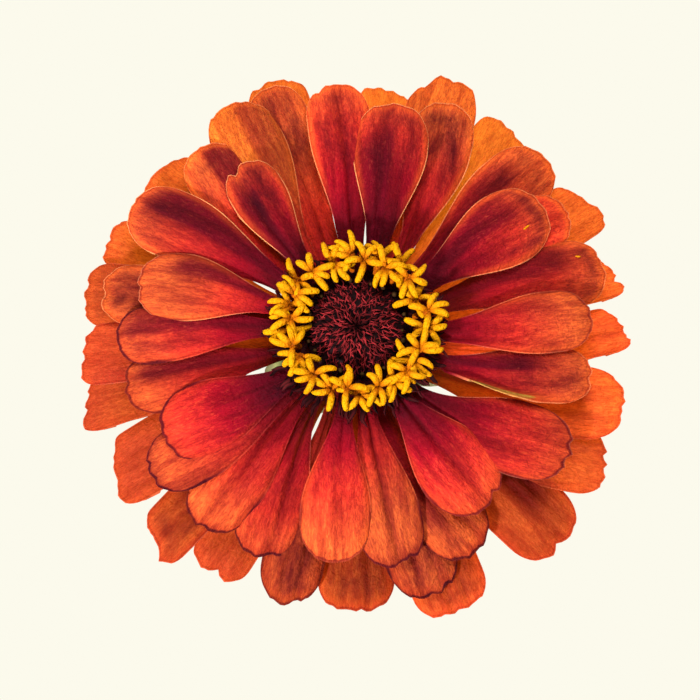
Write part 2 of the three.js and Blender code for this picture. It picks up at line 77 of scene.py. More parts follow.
# Petals, one row each: root azimuth, tip azimuth, reach, width and rank (0 lowest, 6 highest), then the
# TONES, the notches and the channels as (u, depth in mm), and what else departs from PLAIN_LOOK. Across a
# petal, u runs from -1 to 1, and u above 0 is the left side of a petal that points away from the viewer.
PETAL_ROWS = [
    ((93, 95, 38, 9.4, 5), (0.1, 1.17, -0.21, 0.4, 0.6, 0.1, 0),
     [(0.5, 0.5)], [(-0.12, 0.45)], dict(crest=0.3, arch=0.6, claw=0.1, fade=0.9)),
    ((77, 81, 34.8, 11, 6), (0.17, 0.97, 0.85, 0.45, 0.9, 0.1, 0),
     [], [(0.25, 0.3)], dict(crest=-0.1, arch=0.6, root=-1)),
    ((58, 69, 37.6, 10.3, 4), (-0.09, 1, -0.48, 0.65, 0.9, 0.1, 0),
     [], [(0.1, 0.2)], dict(spread=0.93, claw=-0.14, root=1)),
    ((66, 71.5, 42, 10.6, 2), (-0.35, 1.01, 0.22, 0.1, 0.3, 0.1, -0.3),
     [(0.25, -0.7), (-0.1, 0.3), (-0.35, 0.2), (0.6, 0.7), (0.85, 0.5)], [], dict(slant=-0.8, tip=-0.8)),
    ((83, 83.5, 38.6, 8.8, 0), (-0.27, 1.14, 0.1, 0.1, 0.2, 0.1, -0.7),
     [(0.45, 0.3), (0, 0.4), (-0.45, 0.5), (-0.75, 0.4)], [], dict(slant=1.2, root=-6)),
    ((45.5, 55.5, 39.6, 9.4, 0), (-0.56, 1.07, -0.13, 0.15, 0.15, 0.1, -0.8),
     [(-0.4, 0.3)], [], dict(slant=1.4, claw=0.1, root=2.5)),
    ((43.5, 43.5, 39, 10.9, 3), (-0.08, 1.03, 0.8, 0.35, 0.9, 0.1, 0),
     [], [(0.35, 0.3), (0.6, 0.2)], dict(spread=0.96, claw=-0.06, root=1, tip=0.8)),
    ((35, 34.5, 33.2, 11.2, 6), (0.1, 0.97, 0.8, 0.5, 0.6, 0.1, 0), [], [], dict(arch=0.5, crescent=0.85)),
    ((36, 30.5, 36.1, 9.1, 4), (0.15, 1.35, 0.18, 0.15, 0.7, 0.2, 0), [], [], {}),
    ((28, 28.5, 40.6, 9.4, 0), (-0.45, 1.15, -0.15, 0.15, 0.4, 0.1, -0.4),
     [(0.1, 0.4), (0.5, 0.3), (-0.75, 0.8)], [], dict(slant=-1.2, claw=0.1, tip=3, corner=-1)),
    ((24, 15.5, 37.9, 10.3, 4), (0.02, 0.89, 0.72, 0.5, 0.6, 0.1, 0),
     [(0.4, 0.4), (0.1, 0.3)], [], dict(crescent=0.5, root=-5)),
    ((-4, 4.5, 34.4, 9.1, 6), (-0.07, 0.98, 0.35, 0.1, 0.3, 0.4, 0),
     [], [(-0.62, 0.3)], dict(crest=-0.1, arch=0.5, claw=0.03, root=1.5)),
    ((12, 12, 39.7, 7.4, 0), (-0.17, 1.34, -0.04, 0.15, 0.4, 0.1, -0.3),
     [(-0.2, 0.8)], [], dict(slant=-1, spread=0.86, claw=0.1, tip=2.8, corner=-1)),
    ((-9, 1.5, 39.3, 8.2, 1), (-0.12, 1.51, 0.46, 0.15, 0.4, 0.1, -0.1),
     [(-0.2, 0.4), (-0.5, 0.4), (-0.75, 0.3)], [(-0.2, 0.4), (0.2, 0.2)],
     dict(slant=-1, spread=0.86, tip=1.8, corner=-1)),
    ((-22, -9.5, 34.9, 8.4, 5), (-0.02, 0.84, 1, 0.4, 0.5, 0.1, 0),
     [(-0.2, 0.6)], [], dict(lift=-1, claw=-0.05, dusk_end=0.8)),
    ((-39.5, -28, 35.8, 11.2, 5), (0.14, 1.04, 0.51, 0.15, 0.5, 0.6, 0),
     [(0.1, 0.5), (-0.3, 0.7), (-0.55, 0.4)], [(-0.3, 0.25)], dict(claw=-0.1, dusk_end=0.66, fade=0.3, root=-8.5)),
    ((-29, -11.5, 40.5, 10.9, 1), (0.12, 1.36, 1, 0.15, 0.4, 0.1, 0.05),
     [(-0.15, 0.6), (-0.45, 0.6)], [], dict(claw=-0.04, root=0.5, tip=-1.2, round=0.8)),
    ((-30, -27, 40.9, 9.7, 0), (0.08, 0.92, 0.95, 0.15, 0.4, 0.1, 0),
     [(0.2, 0.4), (-0.2, 0.3)], [(0.3, 0.3)], dict(claw=-0.1, root=-16, tip=0.8)),
    ((-58.5, -52.5, 31.8, 11.5, 6), (0.14, 1.33, 0.66, 0.15, 0.2, 0.7, 0),
     [(0.25, 0.7)], [(0.02, 0.6)], dict(spread=1.04, dusk_end=0.62, fade=0.3)),
    ((-48, -44.5, 42.6, 10.9, 0), (-0.34, 1.18, 0.75, 0.15, 0.4, 0.1, 0.9),
     [(-0.15, 0.8), (0.1, 0.3)], [(0.15, 0.3), (0.5, 0.3)], dict(crest=-0.1, spread=1.06, fade=0, round=0.5)),
    ((-71, -61, 36.1, 10.6, 3), (-0.18, 1.03, -0.55, 0.3, 0.1, 0.9, 0), [], [(0.3, 0.3)], {}),
    ((-83, -79.5, 34.6, 9.7, 5), (-0.25, 0.78, 0.21, 0.15, 0.1, 0.8, 0), [(0.35, 0.6), (0.1, 0.5)], [(0.05, 0.6)], {}),
    ((261.5, 264.5, 33.8, 10.3, 6), (-0.02, 1.05, -0.06, 0, 0.1, 0.5, 0),
     [], [(0.12, 0.15)], dict(crest=-0.2, arch=0.3, claw=-0.06)),
    ((270, 269.5, 39.6, 11.2, 0), (-0.18, 1.37, -0.07, 0.5, 0.4, 0.3, 1),
     [(0.05, 0.1), (0.35, -0.2), (-0.3, 0.1)], [(-0.3, 0.2), (0.3, 0.3)], dict(tip=0.5)),
    ((-75, -73.5, 39.5, 10.6, 2), (-0.31, 1, 0.31, 0.5, 0.1, 0.9, 0.2),
     [(0, 0.4), (0.45, 0.4)], [(-0.2, 0.5), (0.3, 0.3)], {}),
    ((-72, -71, 42.4, 10.3, 0), (0.01, 1.26, 0.41, 0.5, 0.1, 0.1, 0.5),
     [(-0.3, 0.2), (0.1, 0.1)], [(-0.1, 0.5), (0.35, 0.4)], dict(spread=1.08, tip=1.8)),
    ((248, 255, 40.2, 9.1, 2), (-0.26, 0.79, -0.35, 0.6, 0.1, 0.6, 0.5),
     [(-0.15, -0.5), (0.3, 0.4), (0.62, 0.4)], [(-0.15, 0.4), (0.35, 0.5)], dict(claw=-0.03, root=4.5)),
    ((241, 246.5, 35.4, 9.7, 3), (0.06, 1.01, 0.16, 0.15, 0.3, 0.9, 0),
     [(0.3, 0.7)], [(0.3, 0.6), (-0.3, 0.2)], dict(crest=0.1, claw=-0.12, root=-1.5)),
    ((230, 231, 36.1, 10, 4), (-0.04, 1.13, 0.4, 0.15, 0.1, 0.9, 0), [(0.1, 0.3), (0.4, 0.2)], [(0, 0.5)], {}),
    ((223.5, 214, 36.3, 9.7, 5), (-0.02, 0.77, -0.73, 0, 0.1, 0.9, 0.1), [(0.2, 0.3), (-0.2, 0.2)], [], {}),
    ((216.5, 208, 32.1, 10.6, 6), (0.23, 1.24, -0.55, 0, 0.1, 0.8, 0),
     [(0.1, 0.5), (0.45, 0.5), (-0.2, 0.3)], [], dict(spread=1.03, claw=0.04, dusk_end=0.5)),
    ((197.5, 193, 34.6, 9.4, 4), (-0.06, 0.95, -0.85, 0.15, 0.1, 0.7, 0),
     [(-0.1, 0.4)], [], dict(arch=0.6, claw=-0.06, dusk_end=1.02, root=-1.5)),
    ((178.5, 181, 35, 8.8, 5), (0.01, 1.04, -0.75, 0.4, 0.1, 0.8, 0),
     [(0.3, 0.2)], [], dict(crest=0.1, arch=0.8, dusk_end=1.06, fade=0.3)),
    ((162.5, 167, 32.8, 10.1, 6), (-0.2, 0.88, -0.86, 0.2, 0.5, 0.3, 0),
     [(0.1, 0.4), (0.35, 0.3)], [], dict(crest=-0.3, claw=-0.05, fade=0.2, root=1)),
    ((168, 169.5, 38.1, 9.1, 3), (-0.22, 0.81, -0.29, 0.7, 0.7, 0.1, 0), [(0.05, 0.8)], [(0.1, 0.5)], dict(claw=-0.06)),
    ((169, 169.5, 40.7, 9.7, 1), (-0.17, 0.7, -0.12, 0.3, 0.4, 0.1, -0.2),
     [(0.3, 0.5), (-0.2, 0.4), (0.6, 0.3)], [], {}),
    ((157, 157, 40, 7.9, 0), (0, 0.95, -0.17, 0.15, 0.4, 0.1, -0.3), [(0, 0.6), (0.4, 0.5)], [], {}),
    ((147, 149.5, 38.3, 10.3, 5), (0, 0.9, -0.95, 0.4, 0.9, 0.1, 0), [], [], dict(arch=0.9, dusk_end=1.02, fade=0)),
    ((135.5, 137, 39.2, 9.4, 0), (-0.35, 0.98, -0.7, 0.15, 0.4, 0.1, -0.4),
     [(0.4, 0.4), (0.7, 0.4)], [], dict(slant=1.2, tip=2)),
    ((136.5, 129, 36.4, 9.7, 4), (-0.12, 1.25, -0.88, 0.5, 0.6, 0.1, 0),
     [], [], dict(crest=0.1, arch=0.6, dusk_end=1.1, fade=0.1)),
    ((129, 124, 30.2, 8.2, 6), (0.12, 0.85, 0.95, 0.6, 0.9, 0.1, 0), [(0.35, 1.2)], [(0.3, 0.3)], {}),
    ((119, 117.5, 40, 10.6, 3), (-0.38, 0.96, -0.62, 0.05, 0.5, 0.1, -0.5),
     [(0.3, 0.3), (0.6, 0.4)], [], dict(slant=0.5, crest=0.05, claw=-0.06, dusk_end=1.15, fade=0.45, root=4)),
    ((108.5, 108, 40.4, 9.1, 2), (-0.34, 0.91, 0.16, 0.5, 0.8, 0.1, 0),
     [], [(0.1, 0.3)], dict(spread=0.95, claw=0.12, tip=0.8)),
    ((112, 106.5, 41.5, 9.1, 0), (-0.35, 1.01, 0, 0.15, 0.4, 0.1, -0.6),
     [(0.5, 0.4), (-0.5, 0.6), (-0.8, 0.5)], [], dict(claw=0.05, root=-4, tip=1)),
    ((183, 183, 40.3, 9.1, 1), (-0.18, 0.91, 0.04, 0.15, 0.4, 0.1, 0.1),
     [(0.1, 0.4), (-0.3, 0.3), (-0.8, 0.6)], [(0.3, 0.25)], dict(slant=0.5, corner=1)),
    ((194, 193.5, 41, 8.5, 0), (-0.02, 0.73, 0.21, 0.15, 0.4, 0.1, 0.15),
     [(-0.3, 0.4), (0.2, 0.5)], [(0, 0.25)], dict(slant=1.6, spread=0.95, root=-2, corner=1)),
    ((210, 210, 40.5, 10.3, 0), (-0.19, 0.73, -0.08, 0.15, 0.4, 0.1, 0),
     [(0, 0.3), (-0.7, 0.5)], [(-0.3, 0.2), (0.3, 0.2)], dict(slant=1.5, tip=-0.6, corner=1)),
    ((227, 227.5, 42, 8.8, 0), (0.03, 0.93, -0.35, 0.5, 0.4, 0.1, 0.5),
     [(-0.25, 0.5), (0.1, 0.5), (0.5, -0.5)], [(0, 0.4)], dict(slant=1, spread=0.96, tip=-2, corner=1)),
    ((240, 240.5, 40.2, 9.1, 0), (-0.05, 0.83, 0.45, 0.15, 0.4, 0.1, 0.2), [(0.1, 1.1)], [(0.1, 0.4)], dict(tip=-2.3)),
]

# deep: how much further the dark foot reaches, a foot partly of the petal's own burgundy and partly painted shade under
# the petals above and the ring; bright: brightness; dusk: strength and side of the maroon flank, painted shade on the
# side turned away from the key light; mottle: dark blotches near the tip; rim_light: pale rim line, a painted highlight
# along the thin edge; rim_dark: dark rim line, and painted shade near a tip that curls away from the light;
# olive: brown cast, or golden below 0
TONES = ("deep", "bright", "dusk", "mottle", "rim_light", "rim_dark", "olive")

# slant: mm by which the u side is longer, crest and arch: place and height of the ridge line, crescent: how
# close to the rim the blotches stay, lift: side whose edge stands up, spread: width against the solid's,
# claw: wider or narrower foot, dusk_end and fade: where the maroon flank of painted shade stops along and
# across, root and tip: turn of the foot and the tip in degrees, corner: side with a squarer tip, round: how far a
# blunt tip is rounded
PLAIN_LOOK = dict(slant=0, crest=0, arch=0.45, crescent=0, lift=0, spread=1, claw=0, dusk_end=0.92, fade=0.5,
                  root=0, tip=0, corner=0, round=0)

PETALS = [row[0] for row in PETAL_ROWS]
LOOKS = [{**PLAIN_LOOK, **dict(zip(TONES, tones)), "notches": notches, "channels": channels, **others}
         for _, tones, notches, channels, others in PETAL_ROWS]

# Florets: azimuth and radius of the throat, then the headings of its five lobes
FLORETS = [
    (110, 9.7, 93, 130, -15, -52, -88), (129, 10.1, 100, 20, -20, -58, 154),
    (142, 10.7, 125, 195, 23, -28, 265), (153, 9.9, 147, 15, -28, -75, 100),
    (163.5, 10, 187, 150, 110, 225, 30), (174, 9.4, 160, 200, 40, -11, 270),
    (182.5, 9.9, 190, 228, -16, -63, 70), (198, 9.6, 182, 144, 43, 95, 265),
    (209, 9.2, 165, 203, 1, 241, 285), (230, 9.5, 113, 27, 214, 257, 170),
    (249, 9.9, 113, 151, 215, 272, 50), (262, 9.2, 67, 151, 109, 256, 0),
    (272, 10, 350, 30, 296, 245, 150), (289.5, 9.6, 118, 80, 40, 298, 241),
    (303, 9.6, 98, 245, 283, 321, 7), (317.5, 9.9, 153, 215, 275, 325, 60),
    (329, 9.6, 150, 195, 270, 308, 346), (339, 9.8, 131, 72, 30, 350, 190),
    (358, 10.2, 165, 205, 40, 357, 318), (11.5, 10.6, 169, 0, 38, 79, 270),
    (24.5, 9.4, 200, 66, 293, 20, 145), (42, 10.2, 17, 141, 282, 240, 335),
    (53.5, 10.9, 110, 70, 350, 180, 260), (63, 9.2, 268, 313, 216, 110, 30),
    (71, 10.4, 130, 85, 45, 188, 330), (83, 9.6, 266, 99, 60, 180, 340),
    (94, 10.4, 150, 190, 112, 74, 261),
]

# Crumbs of pollen: petal, place along and across it, heading, length
CRUMBS = [(7, 0.84, -0.28, 38, 1.3), (10, 0.88, 0.35, -5, 0.9)]

# Bracts: count, turn, root radius, root height, tip radius, tip height, width
BRACT_ROWS = [
    (8, 0, 4.6, 0.9, 9.6, 3.0, 5.6),
    (10, 17, 7.0, 2.2, 11.4, 4.3, 5.6),
    (11, 5, 8.0, 3.9, 13.7, 5.4, 5.6),
]

# Azimuths of the long bracts whose tips show between the petals' claws, and where those tips end
SHOWN_BRACTS = (130, 199, 326)
SHOWN_TIP = (14.6, 5.8)

# Receptacle, and the turned cup under the bracts as (radius, height)
CORE_RADIUS = COLLAR_RADIUS - 0.3
CUP_PROFILE = [(5.0, 0.5), (7.2, 1.8), (8.7, 3.6), (CORE_RADIUS, CUP_TOP)]

# Centre: dome, chaff scales on a spiral, closed buds, open florets and the fringe under them. Two in three
# scales of the fringe are left out within FRINGE_GAP, towards the top of the photograph.
GOLDEN_ANGLE = 137.508
DOME_RADIUS = 7.4
DOME_WALL = 0.25
CHAFF_WALL = 0.08
CHAFF_START = 0.7
CHAFF_REACH = 7.2
BUD_COUNT = 26
BUD_RADIUS = 6.6
BUD_HEIGHT = 13.55
TUBE_FOOT_RADIUS = 8.6
LOBE_LENGTHS = (2.6, 3.3)
FRINGE_COUNT = 132
FRINGE_RING = (9.6, 11.6)
FRINGE_HEIGHT = 13.0
FRINGE_GAP = (20, 165)

# Stage, in metres: each softbox by its name, place and size
KEY_SOFTBOX = ("key_softbox", (-0.40, -0.56, 0.46), 0.08)
FILL_SOFTBOX = ("fill_softbox", (0.04, 0.44, 0.78), 0.50)
CAMERA_DISTANCE = 0.6
CAMERA_TARGET = (-0.0009, -0.00105, 0.001)
FLOOR_SIZE = 2.4
FLOOR_GAP = 0.0002


class Draws:
    """Repeatable random draws, in the order in which the solids make theirs."""

    def __init__(self, seed):
        self.state = seed

    def between(self, low, high):
        self.state = (self.state * 16807) % 2147483647
        return low + (high - low) * self.state / 2147483647


def shared_draws():
    """Petal rolls and floret heights and lobe lengths, drawn as for the solids."""
    draws = Draws(SEED)
    rolls = {}
    for low, high in (OUTER, MIDDLE, INNER):
        for index, petal in enumerate(PETALS):
            if low <= petal[4] <= high:
                rolls[index] = math.radians(draws.between(-3, 3))
    for _ in range(SPIKE_COUNT * 3):
        draws.between(0, 1)
    florets = []
    for index, (azimuth, radius, *headings) in enumerate(FLORETS):
        level = THROAT_HEIGHT + (index % 2) * FLORET_STEP + draws.between(-0.1, 0.1)
        lobes = [(heading, draws.between(*LOBE_LENGTHS)) for heading in sorted((h + 720) % 360 for h in headings)]
        florets.append((azimuth, radius, level, lobes))
    return rolls, florets


ROLLS, FLORET_PLAN = shared_draws()


def ease(x):
    t = np.clip(x, 0.0, 1.0)
    return t * t * (3 - 2 * t)


def dip(u, place, width):
    return np.exp(-((u - place) / width) ** 2)


def polar(azimuth, radius, z=0.0):
    a = math.radians(azimuth)
    return np.array((radius * math.cos(a), radius * math.sin(a), z))


def left_of(way):
    return np.array((-way[1], way[0], 0.0))


def lowest_row(radius):
    """Height of the lowest row of petals over the radius."""
    rise = 0.4 * ease((radius - 9) / 5)
    droop = (np.maximum(0.0, radius - 14) / (HEAD_RADIUS - 14)) ** 1.8
    return CROWN_HEIGHT - 0.4 + rise - (CROWN_HEIGHT - TIP_HEIGHT) * droop


def petal_height(radius, rank):
    """Height of a petal's middle line at a radius."""
    far = ease((radius - 9) / 18)
    gap = RANK_GAP_ROOT + (RANK_GAP_FAR - RANK_GAP_ROOT) * far
    groups = (rank >= 2) + (rank >= 5)
    return lowest_row(radius) + rank * gap + groups * GROUP_GAP


def petal_line(petal, s):
    """Points of a petal's middle line at the shares s."""
    root_azimuth, tip_azimuth, reach, _, rank = petal
    root = polar(root_azimuth, ROOT_RADIUS)
    tip = polar(tip_azimuth, reach)
    swing = polar(root_azimuth, ROOT_RADIUS + 0.45 * (reach - ROOT_RADIUS))
    s = np.asarray(s)[..., None]
    points = (1 - s) ** 2 * root + 2 * s * (1 - s) * swing + s ** 2 * tip
    stretch = HEAD_RADIUS / max(reach, HEAD_RADIUS - 1) if rank < 2 else 1.0
    drop = 0.0 if rank < 2 else MIDDLE_CURL if rank < 5 else INNER_CURL
    radius = np.hypot(points[..., 0], points[..., 1]) * stretch
    points[..., 2] = petal_height(radius, rank) - drop * s[..., 0] ** 4
    return points


# Mesh helpers

def deselect_all():
    if bpy.context.mode != "OBJECT":
        bpy.ops.object.mode_set(mode="OBJECT")
    bpy.ops.object.select_all(action="DESELECT")


def active():
    return bpy.context.view_layer.objects.active


def make_active(piece):
    deselect_all()
    piece.select_set(True)
    bpy.context.view_layer.objects.active = piece


def mesh_points(piece):
    points = np.empty(len(piece.data.vertices) * 3)
    piece.data.vertices.foreach_get("co", points)
    return points.reshape(-1, 3)


def set_points(piece, points):
    piece.data.vertices.foreach_set("co", np.asarray(points, dtype=float).ravel())
    piece.data.update()


def set_attribute(piece, name, *columns):
    """Note three numbers at each point. A bare number holds for all of them."""
    values = np.empty((len(piece.data.vertices), 3))
    for k, column in enumerate(columns):
        values[:, k] = column
    attribute = piece.data.attributes.new(name, "FLOAT_VECTOR", "POINT")
    attribute.data.foreach_set("vector", values.ravel())


def copy_of(master):
    piece = bpy.data.objects.new("copy", master.data.copy())
    bpy.context.scene.collection.objects.link(piece)
    return piece


def remove_master(master):
    mesh = master.data
    bpy.data.objects.remove(master)
    bpy.data.meshes.remove(mesh)


def copies(master, shape, places):
    """Copy the master once for each place, shape every copy there, and remove the master."""
    pieces = []
    for place in places:
        pieces.append(copy_of(master))
        shape(pieces[-1], *place)
    remove_master(master)
    return pieces


def joined(pieces, name):
    make_active(pieces[0])
    for piece in pieces:
        piece.select_set(True)
    bpy.ops.object.join()
    active().name = name
    active().data.name = name
    return active()


def give_wall(piece, thickness, offset=-1.0):
    make_active(piece)
    wall = piece.modifiers.new("wall", "SOLIDIFY")
    wall.thickness = thickness * MM
    wall.offset = offset
    wall.use_even_offset = False
    bpy.ops.object.modifier_apply(modifier="wall")


def finish_piece(piece, material, smooth_angle, slot, *nodes):
    make_active(piece)
    bpy.ops.object.shade_smooth_by_angle(angle=math.radians(smooth_angle))
    piece.data.materials.clear()
    piece.data.materials.append(material)
    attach(piece, "root")
    if nodes:
        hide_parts(*nodes)


# Materials

def rgb(red, green, blue):
    """Linear colour with its alpha, from screen values of 0 to 255."""
    def channel(value):
        value /= 255
        return value / 12.92 if value <= 0.04045 else ((value + 0.055) / 1.055) ** 2.4
    return (channel(red), channel(green), channel(blue), 1.0)


def opaque(colour):
    return (*colour, 1.0)


class Nodes:
    """Adds the nodes of one shader tree under short names."""

    def __init__(self, tree):
        self.tree = tree

    def put(self, kind, inputs=None, **settings):
        """Add a node, set it up, and fill or link its inputs."""
        node = self.tree.nodes.new(kind)
        for key, value in settings.items():
            setattr(node, key, value)
        for key, value in (inputs or {}).items():
            if isinstance(value, bpy.types.NodeSocket):
                self.tree.links.new(value, node.inputs[key])
            else:
                node.inputs[key].default_value = value
        return node

    def maths(self, operation, *values, clamp=False):
        return self.put("ShaderNodeMath", dict(enumerate(values)), operation=operation, use_clamp=clamp).outputs[0]

    def times(self, first, *factors, clamp=False):
        for factor in factors:
            first = self.maths("MULTIPLY", first, factor, clamp=clamp)
        return first

    def plus(self, first, second):
        return self.maths("ADD", first, second)

    def less(self, first, second, clamp=False):
        return self.maths("SUBTRACT", first, second, clamp=clamp)

    def scaled(self, value, factor, offset, clamp=False):
        return self.maths("MULTIPLY_ADD", value, factor, offset, clamp=clamp)

    def mask(self, value, low, high):
        """Smooth mask from 0 at low to 1 at high."""
        return self.put("ShaderNodeMapRange", {"Value": value, "From Min": low, "From Max": high},
                        interpolation_type="SMOOTHSTEP").outputs["Result"]

    def blend(self, factor, first, second, blend_type="MIX"):
        return self.put("ShaderNodeMix", {0: factor, 6: first, 7: second}, data_type="RGBA",
                        blend_type=blend_type).outputs[2]

    def over(self, body, colour, *masks, clamp=False):
        """Lay a colour over the body where the masks, multiplied, let it."""
        return self.blend(self.times(*masks, clamp=clamp), body, colour)

    def dimmed(self, body, colour):
        return self.blend(1.0, body, colour, "MULTIPLY")

    def ramp(self, factor, *stops):
        node = self.put("ShaderNodeValToRGB", {"Fac": factor})
        elements = node.color_ramp.elements
        while len(elements) < len(stops):
            elements.new(0.5)
        for element, (position, colour) in zip(elements, stops):
            element.position = position
            element.color = colour
        return node.outputs["Color"]

    def attribute(self, name):
        return self.put("ShaderNodeAttribute", attribute_name=name, attribute_type="GEOMETRY").outputs["Vector"]

    def split(self, vector):
        return self.put("ShaderNodeSeparateXYZ", {"Vector": vector}).outputs

    def parts(self, name):
        return self.split(self.attribute(name))

    def noise(self, vector, scale, detail, roughness=0.5, distortion=0.0, **settings):
        return self.put("ShaderNodeTexNoise", {
            "Vector": vector, "Scale": scale, "Detail": detail, "Roughness": roughness,
            "Distortion": distortion}, **settings).outputs["Fac"]

    def speckle(self, scale, detail):
        return self.noise(self.put("ShaderNodeTexCoord").outputs["Object"], scale, detail)

    def bump(self, height, strength, distance):
        return self.put("ShaderNodeBump", {
            "Height": height, "Strength": strength, "Distance": distance}).outputs[0]

    def shell(self, body, roughness, shine, normal):
        return self.put("ShaderNodeBsdfPrincipled", {
            "Base Color": body, "Roughness": roughness, "Specular IOR Level": shine, "Normal": normal}).outputs[0]

    def lit_through(self, shell, share, colour, normal):
        """Mix a shell with light that comes through it from behind."""
        glow = self.put("ShaderNodeBsdfTranslucent", {"Color": colour, "Normal": normal}).outputs[0]
        return self.put("ShaderNodeMixShader", {0: share, 1: shell, 2: glow}).outputs[0]

    def surface(self, shader):
        self.put("ShaderNodeOutputMaterial", {"Surface": shader})


def new_material(name):
    material = bpy.data.materials.new(name)
    material.use_nodes = True
    material.node_tree.nodes.clear()
    return material, Nodes(material.node_tree)


def grain_group():
    """Lengthwise streaks, veins and soft blotches along a blade."""
    name = "Blade Grain"
    if name in bpy.data.node_groups:
        return bpy.data.node_groups[name]
    group = bpy.data.node_groups.new(name, "ShaderNodeTree")
    group.interface.new_socket(name="Place", in_out="INPUT", socket_type="NodeSocketVector")
    for label, default in (("Fine", 4.6), ("Broad", 0.8), ("Length", 0.12)):
        socket = group.interface.new_socket(name=label, in_out="INPUT", socket_type="NodeSocketFloat")
        socket.default_value = default
    for label in ("Veins", "Folds", "Blotch", "Creases", "Threads", "Height"):
        group.interface.new_socket(name=label, in_out="OUTPUT", socket_type="NodeSocketFloat")
    nodes = Nodes(group)
    given = nodes.put("NodeGroupInput").outputs
    across, along, seed = nodes.split(given["Place"])

    def stretched(cross, lengthwise, shift):
        return nodes.put("ShaderNodeCombineXYZ", {
            "X": nodes.times(across, cross), "Y": nodes.times(along, lengthwise),
            "Z": nodes.plus(seed, shift)}).outputs[0]

    fine = nodes.noise(stretched(given["Fine"], 1.0, 3.1), 1.0, 3.0, 0.6, 0.9)
    broad = nodes.noise(stretched(given["Broad"], given["Length"], 17.7), 1.0, 2.0, 0.5, 0.6)
    blotch = nodes.noise(stretched(0.42, 0.2, 41.3), 1.0, 6.0, 0.68, 0.5)
    ridges = nodes.noise(stretched(0.9, 0.15, 63.9), 1.0, 4.0, 0.6, 0.8, noise_type="RIDGED_MULTIFRACTAL")
    creases = nodes.mask(ridges, 0.9, 2.0)
    veins = nodes.mask(fine, 0.4, 0.66)
    height = nodes.scaled(veins, -0.35, nodes.times(broad, 1.4))
    nodes.put("NodeGroupOutput", {
        "Veins": veins, "Folds": nodes.mask(broad, 0.38, 0.66), "Blotch": nodes.mask(blotch, 0.35, 0.7),
        "Creases": creases, "Threads": nodes.mask(fine, 0.46, 0.26),
        "Height": nodes.scaled(creases, -1.0, height)})
    return group


def deepened(nodes, colour, pivot):
    """Draw dark and light places further apart in red and green, and closer in blue."""
    parts = nodes.put("ShaderNodeSeparateColor", {"Color": colour}).outputs
    return nodes.put("ShaderNodeCombineColor", {
        channel: nodes.times(nodes.maths("POWER", parts[channel], power), still ** (1 - power))
        for channel, power, still in (("Red", 1.08, 0.25), ("Green", 1.38, pivot), ("Blue", 0.9, 0.03))}).outputs[0]


